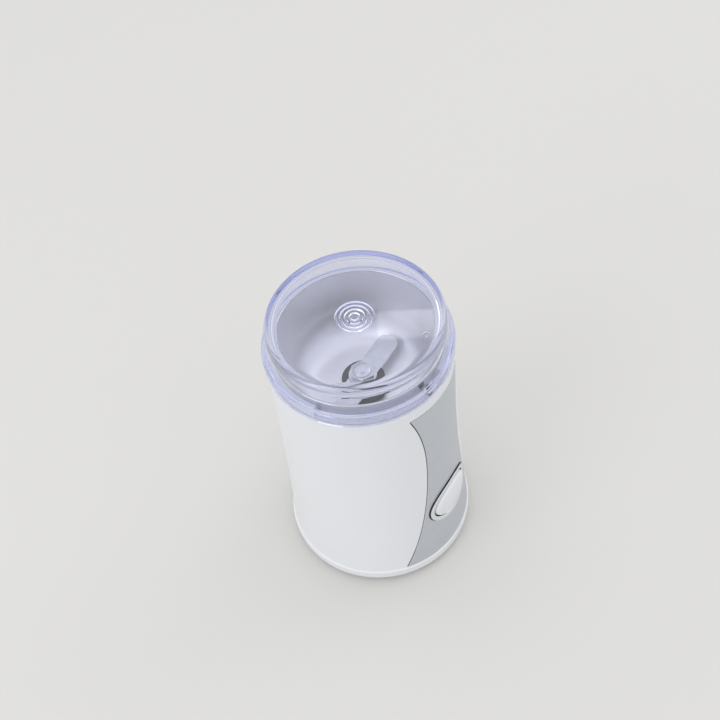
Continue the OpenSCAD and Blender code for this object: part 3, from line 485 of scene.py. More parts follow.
FINISHES: dict[Slot, Finish] = {
    Slot.WHITE: WHITE_ABS,
    Slot.SILVER: SILVER_PAINT,
    Slot.CHROME: CHROME,
    Slot.CLEAR: CLEAR_SAN,
    Slot.STAINLESS: BRUSHED_BOWL,
    Slot.ZINC: ZINC,
    Slot.LAMINATIONS: LAMINATIONS,
    Slot.COPPER: COPPER,
    Slot.BRASS: BRASS,
    Slot.RUBBER: RUBBER,
    Slot.BLACK: BLACK_PLASTIC,
    Slot.NYLON: NYLON,
    Slot.CARBON: CARBON,
    Slot.CAST: CAST_ALUMINIUM,
    Slot.CAPACITOR: YELLOW_CASE,
}


# ---------- shapes ----------


@dataclass
class Shape:
    """Points in millimetres, and the faces between them."""

    points: list[Point]
    faces: list[tuple[int, ...]]

    @classmethod
    def sheet(
        cls, rows: Sequence[Sequence[Point]], wrap_rows: bool = False, wrap_columns: bool = False,
        capped: bool = False,
    ) -> "Shape":
        """Stretches four-sided faces through rows of points.

        Args:
            rows: the rows, all with the same number of points.
            wrap_rows: whether the last row joins the first.
            wrap_columns: whether the last point of a row joins its first.
            capped: whether the first and the last row are closed with a face.

        Returns:
            The sheet.
        """
        count, many = len(rows[0]), len(rows)
        faces: list[tuple[int, ...]] = []
        for row in range(many if wrap_rows else many - 1):
            here, after = row * count, (row + 1) % many * count
            for column in range(count if wrap_columns else count - 1):
                beside = (column + 1) % count
                faces.append((here + column, here + beside, after + beside, after + column))
        if capped:
            faces.append(tuple(range(count)))
            faces.append(tuple((many - 1) * count + column for column in range(count)))
        return cls([point for row in rows for point in row], faces)

    def __add__(self, other: "Shape") -> "Shape":
        """Returns both shapes as one."""
        later = [tuple(i + len(self.points) for i in face) for face in other.faces]
        return Shape(self.points + other.points, self.faces + later)

    def mapped(self, change: Callable[[Point], Point]) -> "Shape":
        """Returns the shape with every point changed by a function."""
        return Shape([change(point) for point in self.points], self.faces)

    def moved(self, x: float, y: float, z: float = 0.0) -> "Shape":
        """Returns the shape moved."""
        return self.mapped(lambda p: (p[0] + x, p[1] + y, p[2] + z))

    def turned(self, degrees: float) -> "Shape":
        """Returns the shape turned about the upright axis."""
        c, s = math.cos(math.radians(degrees)), math.sin(math.radians(degrees))
        return self.mapped(lambda p: (p[0] * c - p[1] * s, p[0] * s + p[1] * c, p[2]))

    def laid_along_y(self, height: float) -> "Shape":
        """Returns the shape with its upright axis laid along Y, at a height."""
        return self.mapped(lambda p: (p[0], p[2], height + p[1]))


def rounded(corners: Sequence[tuple[float, ...]], steps: int = 6) -> Profile:
    """Rounds the corners of a profile with arcs.

    Args:
        corners: each corner's two coordinates and, where it is rounded, the arc's radius.
        steps: faces to a quarter turn.

    Returns:
        The profile's points.
    """
    profile: Profile = []
    for index, corner in enumerate(corners):
        here = Vector(corner[:2])
        if len(corner) < 3 or index in (0, len(corners) - 1):
            profile.append((here.x, here.y))
            continue
        before, after = Vector(corners[index - 1][:2]) - here, Vector(corners[index + 1][:2]) - here
        half = before.angle(after) / 2
        # an arc takes less than half of each side, so that two arcs fit on a side
        reach = min(corner[2] / math.tan(half), 0.49 * before.length, 0.49 * after.length)
        before, after = before.normalized(), after.normalized()
        centre = here + (before + after).normalized() * (reach / math.cos(half))
        start, end = here + before * reach - centre, here + after * reach - centre
        turn = math.copysign(math.pi - 2 * half, start.cross(end))
        count = max(2, math.ceil(steps * abs(turn) / (math.pi / 2)))
        for step in range(count + 1):
            angle = turn * step / count
            c, s = math.cos(angle), math.sin(angle)
            profile.append((centre.x + start.x * c - start.y * s, centre.y + start.x * s + start.y * c))
    return profile


def arc(
    centre: tuple[float, float], radii: tuple[float, float], start: float, end: float, steps: int
) -> Profile:
    """Returns points on an arc of a circle or an ellipse, from one angle in degrees to another."""
    angles = [math.radians(start + (end - start) * i / steps) for i in range(steps + 1)]
    return [(centre[0] + radii[0] * math.cos(a), centre[1] + radii[1] * math.sin(a)) for a in angles]


def circle(radius: float, z: float, columns: int = COLUMNS) -> list[Point]:
    """Returns points on a level circle round the upright axis."""
    turns = [2 * math.pi * i / columns for i in range(columns)]
    return [(radius * math.sin(t), -radius * math.cos(t), z) for t in turns]


def lathe(profile: Profile, closed: bool = True, columns: int = COLUMNS) -> Shape:
    """Turns a profile of radius and height round the upright axis.

    Args:
        profile: the points, in order.
        closed: whether the last point joins the first. A profile that ends on the axis is left open.
        columns: faces round the axis.

    Returns:
        The turned shape.
    """
    rows = [circle(radius, z, columns) for radius, z in profile]
    return Shape.sheet(rows, wrap_rows=closed, wrap_columns=True)


def rod(radius: float, z0: float, z1: float, columns: int = 64) -> Shape:
    """Returns a plain upright rod, for cutting and joining."""
    ends = [circle(radius, z0, columns), circle(radius, z1, columns)]
    return Shape.sheet(ends, wrap_columns=True, capped=True)


def block(low: Point, high: Point) -> Shape:
    """Builds a plain block, for cutting and joining.

    Args:
        low: its lowest corner.
        high: its highest corner.

    Returns:
        The block.
    """
    loop = [(low[0], low[1]), (high[0], low[1]), (high[0], high[1]), (low[0], high[1])]
    ends = [[(x, y, z) for x, y in loop] for z in (low[2], high[2])]
    return Shape.sheet(ends, wrap_columns=True, capped=True)


def pin_slot(inner: float, outer: float, z0: float, z1: float) -> Shape:
    """Returns the slot of the interlock pin, from one radius to another, and past two heights."""
    half = PIN_SLOT_W / 2
    return block((inner, -half, z0 - PAST), (outer, half, z1 + PAST)).turned(PIN_ANGLE)


def mesh_of(shape: Shape, name: str) -> bpy.types.Mesh:
    """Makes a clean mesh of a shape.

    Args:
        shape: the shape, in millimetres.
        name: the mesh's name.

    Returns:
        A mesh in metres, with no double points and with faces that look outwards.
    """
    mesh = bpy.data.meshes.new(name)
    mesh.from_pydata([[c * MM for c in point] for point in shape.points], [], shape.faces)
    work = bmesh.new()
    work.from_mesh(mesh)
    bmesh.ops.remove_doubles(work, verts=work.verts, dist=WELD * MM)
    bmesh.ops.dissolve_degenerate(work, edges=work.edges, dist=WELD * MM / 2)
    bmesh.ops.recalc_face_normals(work, faces=work.faces)
    work.to_mesh(mesh)
    work.free()
    return mesh


def carved(mesh: bpy.types.Mesh, *tools: tuple[Carve, Shape]) -> bpy.types.Mesh:
    """Cuts shapes out of a mesh and joins shapes to it.

    Args:
        mesh: a closed mesh.
        *tools: what is done with each closed shape, in order.

    Returns:
        The new mesh.
    """
    collection = bpy.context.scene.collection
    piece = bpy.data.objects.new("blank", mesh)
    collection.objects.link(piece)
    for deed, shape in tools:
        tool = bpy.data.objects.new("tool", mesh_of(shape, "tool"))
        collection.objects.link(tool)
        boolean = piece.modifiers.new("carve", "BOOLEAN")
        boolean.operation = deed.value
        boolean.solver = "EXACT"
        boolean.object = tool
        graph = bpy.context.evaluated_depsgraph_get()
        made = bpy.data.meshes.new_from_object(piece.evaluated_get(graph))
        piece.modifiers.clear()
        piece.data = made
        bpy.data.objects.remove(tool)
    result = piece.data
    bpy.data.objects.remove(piece)
    return result


def place(
    name: str, mesh: bpy.types.Mesh, slot: Slot, body: Body, replaced: Sequence[str],
    finish: Finish | None = None, skin: "Flare | None" = None,
) -> bpy.types.Object:
    """Adds one finished piece to the scene.

    Args:
        name: the piece's name.
        mesh: its mesh, in metres and in place.
        slot: the record's slot that its finish belongs to.
        body: the body that it rides on.
        replaced: the CAD nodes that it stands for.
        finish: its finish, where it isn't the slot's own.
        skin: the housing's outline, for a piece whose shading follows it.

    Returns:
        The piece.
    """
    mesh.name = name
    mesh.polygons.foreach_set("use_smooth", [True] * len(mesh.polygons))
    mesh.set_sharp_from_angle(angle=math.radians(SHARP_DEG))
    mesh.materials.clear()
    mesh.materials.append((finish or FINISHES[slot]).material())
    piece = bpy.data.objects.new(name, mesh)
    bpy.context.scene.collection.objects.link(piece)
    if skin is not None:
        skin.shade(mesh)
    else:
        piece.modifiers.new("even_shading", "WEIGHTED_NORMAL").keep_sharp = True
    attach(piece, body.value)
    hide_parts(*replaced)
    LOG.info("%s: %d faces, on %s, for %s", name, len(mesh.polygons), body.value, ", ".join(replaced))
    return piece


def coat(piece: bpy.types.Object, finish: Finish, wanted: Callable[[bpy.types.MeshPolygon], bool]) -> None:
    """Gives some faces of a piece a second finish.

    Args:
        piece: the piece.
        finish: the second finish.
        wanted: says of a face whether it takes that finish.
    """
    piece.data.materials.append(finish.material())
    for face in piece.data.polygons:
        if wanted(face):
            face.material_index = 1


def runs_back(face: bpy.types.MeshPolygon) -> bool:
    """Returns whether a face runs back from the front, as the side walls of the panel and the ring do."""
    return abs(face.normal.y) < SIDE_WALL


def looks_out(face: bpy.types.MeshPolygon) -> bool:
    """Returns whether a face looks away from the upright axis."""
    return face.normal.dot(Vector((face.center.x, face.center.y, 0)).normalized()) > 0


def span(node: str) -> tuple[Vector, Vector]:
    """Returns the lowest and the highest corner of a CAD node, in millimetres."""
    low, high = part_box(node)
    return low / MM, high / MM


# ---------- housing ----------


@dataclass(frozen=True)
class Flare:
    """The housing's outline: upright at the shoulder, and flared towards the foot."""

    shoulder_r: float
    foot_r: float
    shoulder_z: float
    foot_z: float
    power: float = 2.7

    def share(self, z: float) -> float:
        """Returns how far down the housing a height lies, from 0 at the shoulder to 1 at the foot."""
        return max(0.0, (self.shoulder_z - z) / (self.shoulder_z - self.foot_z))

    def radius(self, z: float) -> float:
        """Returns the housing's outside radius at a height."""
        return self.shoulder_r + (self.foot_r - self.shoulder_r) * self.share(z) ** self.power

    def normal(self, point: Vector) -> Vector:
        """Works out the direction that the housing faces.

        Args:
            point: a point on the housing, in metres.

        Returns:
            The direction, with a length of 1.
        """
        slope = (self.foot_r - self.shoulder_r) * self.power * self.share(point.z / MM) ** (self.power - 1)
        level = Vector((point.x, point.y, 0)).normalized()
        return (level + Vector((0, 0, slope / (self.shoulder_z - self.foot_z)))).normalized()

    def at(self, x: float, z: float, depth: float = 0.0) -> Point:
        """Returns the point on the housing's front at a place seen from there, at a depth below its skin."""
        radius = self.radius(z) - depth
        return x, -math.sqrt(radius * radius - x * x), z

    def shade(self, mesh: bpy.types.Mesh) -> None:
        """Makes the faces on the skin shade as the smooth outline does, across all their edges.

        Args:
            mesh: the mesh, in metres and in place.
        """
        on_skin = 0.01  # how far from the skin a corner of such a face may lie, in millimetres
        same_way = 0.75  # a face in the skin looks outwards at least this much
        normals = [Vector((0, 0, 0))] * len(mesh.loops)
        for face in mesh.polygons:
            for loop in face.loop_indices:
                point = mesh.vertices[mesh.loops[loop].vertex_index].co
                away = Vector((point.x, point.y)).length / MM - self.radius(point.z / MM)
                if abs(away) < on_skin:
                    normal = self.normal(point)
                    if normal.dot(face.normal) > same_way:
                        normals[loop] = normal
        mesh.normals_split_custom_set(normals)


@dataclass
class PanelOutline:
    """The hourglass outline that the silver panel has when it is seen from the front."""

    low: float
    high: float
    waist_half: float = 13.9
    waist_z: float = 91.0
    upper_arc: float = 117.0
    lower_arc: float = 212.0

    def half_width(self, z: float) -> float:
        """Works out half the panel's width. Above its top edge, the width stays.

        Args:
            z: the height.

        Returns:
            Half the width.
        """
        rise = min(z, self.high) - self.waist_z
        bulge = self.upper_arc if rise > 0 else self.lower_arc
        return self.waist_half + bulge - math.sqrt(bulge * bulge - rise * rise)


def edge_steps(depth: float, radius: float, steps: int = 5) -> list[tuple[float, float]]:
    """Walks up a wall and round its top edge.

    Args:
        depth: the wall's depth below the skin.
        radius: the rounding of its edge.
        steps: faces in the rounding.

    Returns:
        For each step, the distance from the wall and the depth below the skin.
    """
    turns = [math.pi / 2 * i / steps for i in range(steps + 1)]
    return [(0.0, depth)] + [(radius * (1 - math.cos(t)), radius * (1 - math.sin(t))) for t in turns]


@dataclass
class Housing:
    """The white flared housing and the silver panel let into its front."""

    wall: float = 2.4
    shoulder_r: float = 42.4
    shoulder_round: float = 0.9
    mouth_round: float = 0.4  # inner edge of the open top
    ledge_z: float = 125.5  # top of the ledge that carries the bowl
    ledge_t: float = 3.0
    ledge_w: float = 1.8
    ledge_round: float = 0.2
    panel_t: float = 1.4
    panel_gap: float = 0.4  # seam round the panel
    panel_round: float = 0.25
    recess_depth: float = 1.55
    recess_round: float = 0.2
    hole_margin: float = 0.3  # room round the button in the wall
    post_r: float = 4.0
    post_h: float = 14.0
    switch_post_r: float = 2.8
    switch_post_x: float = 17.0
    switch_post_dz: float = 13.5
    switch_post_root: float = 4.0  # how far behind the recess the switch's posts start
    slot_from: float = 37.0  # the pin's slot starts this far from the axis
    slot_in_wall: float = 0.4  # and runs this deep into the wall
    flare: Flare = field(init=False)
    outline: PanelOutline = field(init=False)

    def __post_init__(self) -> None:
        """Reads the outline from the frame."""
        low, high = span("body_shell")
        panel_low, panel_high = span("side_panel")
        self.flare = Flare(self.shoulder_r, high.x, high.z, low.z)
        self.outline = PanelOutline(panel_low.z, panel_high.z)

    def ring(self, z: float, level: int, edge: list[tuple[float, float]]) -> list[Point]:
        """Walks once round the housing's outside.

        Args:
            z: the ring's height.
            level: the step of the recess's edge that the ring lies on; the last is the skin itself.
            edge: the steps from the recess's floor up to the skin.

        Returns:
            Points from the rear round the left side, the front and the right side back to the rear.
        """
        inside, outside = 14, 66  # faces across half of the recess, and from its edge to the rear
        half = self.outline.half_width(z) + self.panel_gap
        right = [self.flare.at(half * i / inside, z, edge[level][1]) for i in range(inside)]
        for step, (away, _) in enumerate(edge):
            right.append(self.flare.at(half + away, z, edge[max(step, level)][1]))
        radius = self.flare.radius(z)
        start = math.asin((half + edge[-1][0]) / radius)
        for i in range(1, outside + 1):
            turn = start + (math.pi - start) * i / outside
            right.append((radius * math.sin(turn), -radius * math.cos(turn), z))
        return [(-x, y, z) for x, y, z in reversed(right[1:])] + right

    def shell(self) -> Shape:
        """Builds the housing's shell with its recess.

        Returns:
            One closed sheet: up the outside, over the shoulder, past the ledge and down the inside.
        """
        rows_beside, rows_above, rows_inside = 52, 5, 26  # rows beside the recess, above it and inside
        edge = edge_steps(self.recess_depth, self.recess_round)
        skin = len(edge) - 1
        flare, top = self.flare, self.flare.shoulder_z
        low, high = flare.foot_z, self.outline.high + self.panel_gap
        rows = [self.ring(low + (high - low) * i / rows_beside, 0, edge) for i in range(rows_beside)]
        rows += [self.ring(high + away, step, edge) for step, (away, _) in enumerate(edge)]
        start, end = high + edge[-1][0], top - 2 * self.shoulder_round
        heights = [start + (end - start) * i / rows_above for i in range(1, rows_above + 1)]
        rows += [self.ring(z, skin, edge) for z in heights]

        inner = flare.radius(top) - self.wall
        ledge_in, ledge_low = inner - self.ledge_w, self.ledge_z - self.ledge_t
        profile = rounded([
            (flare.radius(end), end), (flare.radius(top), top, self.shoulder_round),
            (inner, top, self.mouth_round), (inner, self.ledge_z, self.ledge_round),
            (ledge_in, self.ledge_z, self.ledge_round), (ledge_in, ledge_low, self.ledge_round),
            (inner, ledge_low - self.ledge_w),
        ])[1:]
        under = profile[-1][1]
        heights = [under + (low - under) * i / rows_inside for i in range(1, rows_inside + 1)]
        profile += [(flare.radius(z) - self.wall, z) for z in heights]
        for radius, z in profile:
            scale = radius / flare.radius(z)
            rows.append([(x * scale, y * scale, z) for x, y, _ in self.ring(z, skin, edge)])
        return Shape.sheet(rows, wrap_rows=True)

    def posts(self, button: "PushButton") -> list[Shape]:
        """Builds the posts of the base screws and those of the switch's plate.

        Args:
            button: the push button, which the switch stands behind.

        Returns:
            The posts, each of which grows out of the wall.
        """
        foot = self.flare.foot_z
        out = self.flare.radius(foot) - self.wall - self.post_r
        post = rod(self.post_r, foot, foot + self.post_h).moved(out, 0)
        posts = [post.turned(angle) for angle in POST_ANGLES]
        front = -self.flare.radius(button.z) + self.recess_depth + self.switch_post_root
        pillar = rod(self.switch_post_r, front, -button.plate_depth(self.flare)).laid_along_y(button.z)
        for side in (-1, 1):
            for rise in (-1, 1):
                posts.append(pillar.moved(side * self.switch_post_x, 0, rise * self.switch_post_dz))
        return posts

    def make_shell(self, button: "PushButton", base: "Base") -> None:
        """Builds the housing, with its posts, the button's hole, the cord's inlet and the pin's slot.

        Args:
            button: the push button, which comes through the front.
            base: the base, whose cord inlet goes through the rear.
        """
        under_ledge = self.ledge_z - self.ledge_t - self.ledge_w
        slot_end = self.shoulder_r - self.wall + self.slot_in_wall
        tools = [(Carve.JOIN, post) for post in self.posts(button)]
        tools.append((Carve.CUT, button.oval(self.hole_margin)))
        tools += [(Carve.CUT, bore) for bore in base.inlet_cutters()]
        tools.append((Carve.CUT, pin_slot(self.slot_from, slot_end, under_ledge, self.ledge_z)))
        mesh = carved(mesh_of(self.shell(), "body_shell"), *tools)
        place("housing_shell", mesh, Slot.WHITE, Body.HOUSING, ["body_shell"], skin=self.flare)

    def make_panel(self, button: "PushButton") -> None:
        """Builds the silver panel, with a rounded edge and a hole for the button's ring.

        Args:
            button: the push button, which stands in the panel.
        """
        columns, rows = 26, 60  # faces across half of the panel, and from its foot to its top
        edge = edge_steps(self.panel_t, self.panel_round)
        inward = list(reversed(list(enumerate(edge))))
        skin = len(edge) - 1
        soft = edge[-1][0]
        start, end = self.outline.low + soft, self.outline.high - soft
        lines = [(self.outline.low + away, step) for step, (away, _) in enumerate(edge)]
        lines += [(start + (end - start) * i / rows, skin) for i in range(1, rows)]
        lines += [(self.outline.high - away, step) for step, (away, _) in inward]
        front, back = [], []
        for z, level in lines:
            half = self.outline.half_width(z)
            across = [((half - soft) * i / columns, skin) for i in range(columns)]
            across += [(half - away, step) for step, (away, _) in inward]
            across = [(-x, step) for x, step in reversed(across[1:])] + across
            front.append([self.flare.at(x, z, edge[min(step, level)][1]) for x, step in across])
            back.append([self.flare.at(x, z, self.panel_t) for x, _ in across])
        hole = button.oval(button.gap + button.bezel_w + button.bezel_seam)
        mesh = carved(mesh_of(Shape.sheet(front) + Shape.sheet(back), "side_panel"), (Carve.CUT, hole))
        panel = place("silver_side_panel", mesh, Slot.SILVER, Body.HOUSING, ["side_panel"], skin=self.flare)
        # painted shade: the panel's side walls take a dark grey colour that draws the seam round it as a dark
        # line
        coat(panel, PANEL_EDGE_SHADE, runs_back)


# ---------- push button ----------


@dataclass
class PushButton:
    """The oval push button and the chrome ring round it."""

    half_w: float = 13.0
    half_h: float = 10.1
    z: float = 45.0
    gap: float = 0.6  # between the button and its ring
    bezel_w: float = 2.5
    bezel_seam: float = 0.4  # between the ring and the panel
    bezel_proud: float = 0.9
    bezel_round: float = 0.8  # the ring's inner edge
    bezel_edge: float = 0.35  # the ring's outer edge
    proud: float = 2.4
    barrel_r: float = 33.0  # bend of the face from side to side
    crown_r: float = 57.0  # bend of the face from top to bottom
    edge_round: float = 1.3
    stem_r: float = 3.0
    stem_root: float = 0.5  # how far the stem is sunk into the cap
    recess_r: float = 7.2  # hollow in the cap's back, where the spring stands
    recess: float = 5.0
    plate_behind: float = 12.9  # from the skin to the switch's plate
    plate_room: float = 7.0  # from the cap to the switch's plate
    travel: float = 3.0
    cutter_y: tuple[float, float] = (-60.0, -20.0)  # from before the front wall to behind it

    def oval(self, margin: float) -> Shape:
        """Builds an oval cutter that goes through the front wall.

        Args:
            margin: how much wider than the button it is, all round.

        Returns:
            The cutter.
        """
        points = 144
        radii = (self.half_w + margin, self.half_h + margin)
        rim = arc((0, self.z), radii, 0, 360 * (points - 1) / points, points - 1)
        ends = [[(x, y, z) for x, z in rim] for y in self.cutter_y]
        return Shape.sheet(ends, wrap_columns=True, capped=True)

    def plate_depth(self, flare: Flare) -> float:
        """Returns how far in front of the axis the switch's plate lies."""
        return flare.radius(self.z) - self.plate_behind

    def make_bezel(self, flare: Flare, panel_t: float) -> None:
        """Builds the chrome ring: a rounded bar that follows the button's oval and the housing's curve.

        Args:
            flare: the housing's outline.
            panel_t: the panel's thickness, which the ring goes through.
        """
        steps = 200
        bar = rounded([
            (0.0, -panel_t), (0.0, self.bezel_proud, self.bezel_round),
            (self.bezel_w, self.bezel_proud, self.bezel_edge), (self.bezel_w, -panel_t),
        ], steps=8)
        rows = []
        for i in range(steps):
            turn = 2 * math.pi * i / steps
            row = []
            for out, rise in bar:
                x = (self.half_w + self.gap + out) * math.cos(turn)
                z = self.z + (self.half_h + self.gap + out) * math.sin(turn)
                row.append(flare.at(x, z, -rise))
            rows.append(row)
        mesh = mesh_of(Shape.sheet(rows, wrap_rows=True, wrap_columns=True), "bezel")
        ring = place("chrome_button_ring", mesh, Slot.CHROME, Body.HOUSING, ["button_bezel"])
        # painted shade: the ring's side walls take a near-black colour that draws the dark seam line round
        # the chrome
        coat(ring, BEZEL_FLANK_SHADE, runs_back)

    def crown(self, flare: Flare, x: float, z: float) -> float:
        """Works out how far forward the button's crowned face lies.

        Args:
            flare: the housing's outline.
            x: the place across the face.
            z: the height.

        Returns:
            The face's Y there.
        """
        tilt = math.asin((z - self.z) / self.crown_r)
        radius = self.barrel_r - self.crown_r * (1 - math.cos(tilt))
        axis = -(flare.radius(self.z) + self.proud) + self.barrel_r
        return axis - math.sqrt(radius * radius - x * x)

    def make_button(self, flare: Flare) -> None:
        """Builds the button: a crowned oval cap with a rounded edge, a hollow back and a stem.

        Args:
            flare: the housing's outline.
        """
        columns, rings, turns = 160, 16, 8  # faces round the cap, from its middle to its edge, in the edge
        face_w, face_h = self.half_w - self.edge_round, self.half_h - self.edge_round
        # each oval's half width and half height, and how far behind the crowned face it lies
        ovals = [(face_w * i / rings, face_h * i / rings, 0.0) for i in range(rings)]
        for i in range(turns + 1):
            turn = math.pi / 2 * i / turns
            out = self.edge_round * math.sin(turn)
            ovals.append((face_w + out, face_h + out, self.edge_round * (1 - math.cos(turn))))
        rows = []
        for half_x, half_z, drop in ovals:
            row = []
            for i in range(columns):
                turn = 2 * math.pi * i / columns
                x, z = half_x * math.cos(turn), self.z + half_z * math.sin(turn)
                row.append((x, self.crown(flare, x, z) + drop, z))
            rows.append(row)
        back = -self.plate_depth(flare) - self.plate_room
        rows.append([(x, back, z) for x, _, z in rows[-1]])
        cap = Shape.sheet(rows, wrap_columns=True)
        cap.faces.append(tuple(range(len(cap.points) - columns, len(cap.points))))
        floor = back - self.recess
        hollow = rod(self.recess_r, floor, back + PAST).laid_along_y(self.z)
        stem_end = span("power_button")[1].y
        stem = rod(self.stem_r, floor - self.stem_root, stem_end).laid_along_y(self.z)
        mesh = carved(mesh_of(cap, "button"), (Carve.CUT, hollow), (Carve.JOIN, stem))
        place("power_push_button", mesh, Slot.WHITE, Body.BUTTON, ["power_button"])

    def load_spring(self) -> None:
        """Gives the return spring a mesh of its own."""
        spring = frame["nodes"]["button_spring"]
        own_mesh(spring)


# ---------- lid ----------


@dataclass
class Lid:
    """The clear lid: a flange, a drafted wall and a flat top with a mark of plain rings."""

    flange_h: float = 6.5
    flange_t: float = 0.9  # the flange's level part
    flange_w: float = 2.0  # the flange's skirt, which goes over the collar
    flange_step: float = 1.8  # from the wall out to the rim
    wall: float = 1.8
    draft: float = 1.7  # how far the wall leans in from its foot to its top
    inner_draft: float = 1.5
    top_t: float = 2.4
    top_round: float = 2.0
    corner: float = 4.5  # fillet inside, between the wall and the top
    rings: int = 4
    ring_pitch: float = 2.07
    ring_depth: float = 0.7
    first_groove: float = 2.0
    groove_half: float = 0.62
    groove_floor_half: float = 0.16
    groove_round: float = 0.12
    mark_margin: float = 0.2
    pip_at: tuple[float, float] = (33.0, -80.4)  # distance from the axis, and degrees from +X
    pip_r: float = 1.3  # middle of the pip's ring groove
    pip_half: float = 0.6
    pip_depth: float = 0.5
    pip_round: float = 0.4
    lug_from: float = 38.6  # the lug over the interlock pin starts this far from the axis
    lug_w: float = 5.0
    lug_rise: float = 3.2  # from the skirt's foot to the lug's underside
    lug_in_rim: float = 0.4  # how far the lug runs into the skirt
    lug_in_roof: float = 0.3

    @property
    def mark_r(self) -> float:
        """The radius at which the mark has run out into the flat top."""
        return self.first_groove + (self.rings - 0.5) * self.ring_pitch

    def mark(self, top: float) -> Profile:
        """Draws the rings in the middle of the top.

        Args:
            top: the height of the lid's top.

        Returns:
            The rings' profile, from the axis outwards.
        """
        floor = top - self.ring_depth
        corners: list[tuple[float, ...]] = [(0.0, top)]
        for i in range(self.rings):
            middle = self.first_groove + i * self.ring_pitch
            corners += [
                (middle - self.groove_half, top, self.groove_round),
                (middle - self.groove_floor_half, floor, 0.1),
                (middle + self.groove_floor_half, floor, 0.1),
                (middle + self.groove_half, top, self.groove_round),
            ]
        corners.append((self.mark_r, top))
        return rounded(corners, steps=5)

    def pip(self, top: float) -> Shape:
        """Builds the cutter of the small ring groove near the rim.

        Args:
            top: the height of the lid's top.

        Returns:
            The cutter.
        """
        inner, outer, floor = self.pip_r - self.pip_half, self.pip_r + self.pip_half, top - self.pip_depth
        groove = rounded([
            (self.pip_r, top + PAST), (outer, top + PAST), (outer, floor, self.pip_round),
            (inner, floor, self.pip_round), (inner, top + PAST), (self.pip_r, top + PAST),
        ])[:-1]
        reach, bearing = self.pip_at[0], math.radians(self.pip_at[1])
        return lathe(groove, columns=64).moved(reach * math.cos(bearing), reach * math.sin(bearing))

    def make(self) -> None:
        """Builds the lid, with the lug that holds the interlock pin down."""
        low, high = span("lid")
        rim, base, top = high.x, low.z, high.z
        roof = base + self.flange_h
        under = roof - self.flange_t
        wall_r = rim - self.flange_step
        inside = wall_r - self.wall
        flange_in = rim - self.flange_w
        profile = self.mark(top) + rounded([
            (self.mark_r + self.mark_margin, top), (wall_r - self.draft, top, self.top_round),
            (wall_r, roof, 0.5), (rim, roof, 0.7), (rim, base, 0.4), (flange_in, base, 0.3),
            (flange_in, under, 0.3), (inside, under, 0.4),
            (inside - self.inner_draft, top - self.top_t, self.corner), (0.0, top - self.top_t),
        ], steps=8)
        lug = block(
            (self.lug_from, -self.lug_w / 2, base + self.lug_rise),
            (flange_in + self.lug_in_rim, self.lug_w / 2, under + self.lug_in_roof),
        ).turned(PIN_ANGLE)
        blank = mesh_of(lathe(profile, closed=False), "lid")
        mesh = carved(blank, (Carve.CUT, self.pip(top)), (Carve.JOIN, lug))
        place("clear_lid", mesh, Slot.CLEAR, Body.LID, ["lid"])


# ---------- bowl ----------


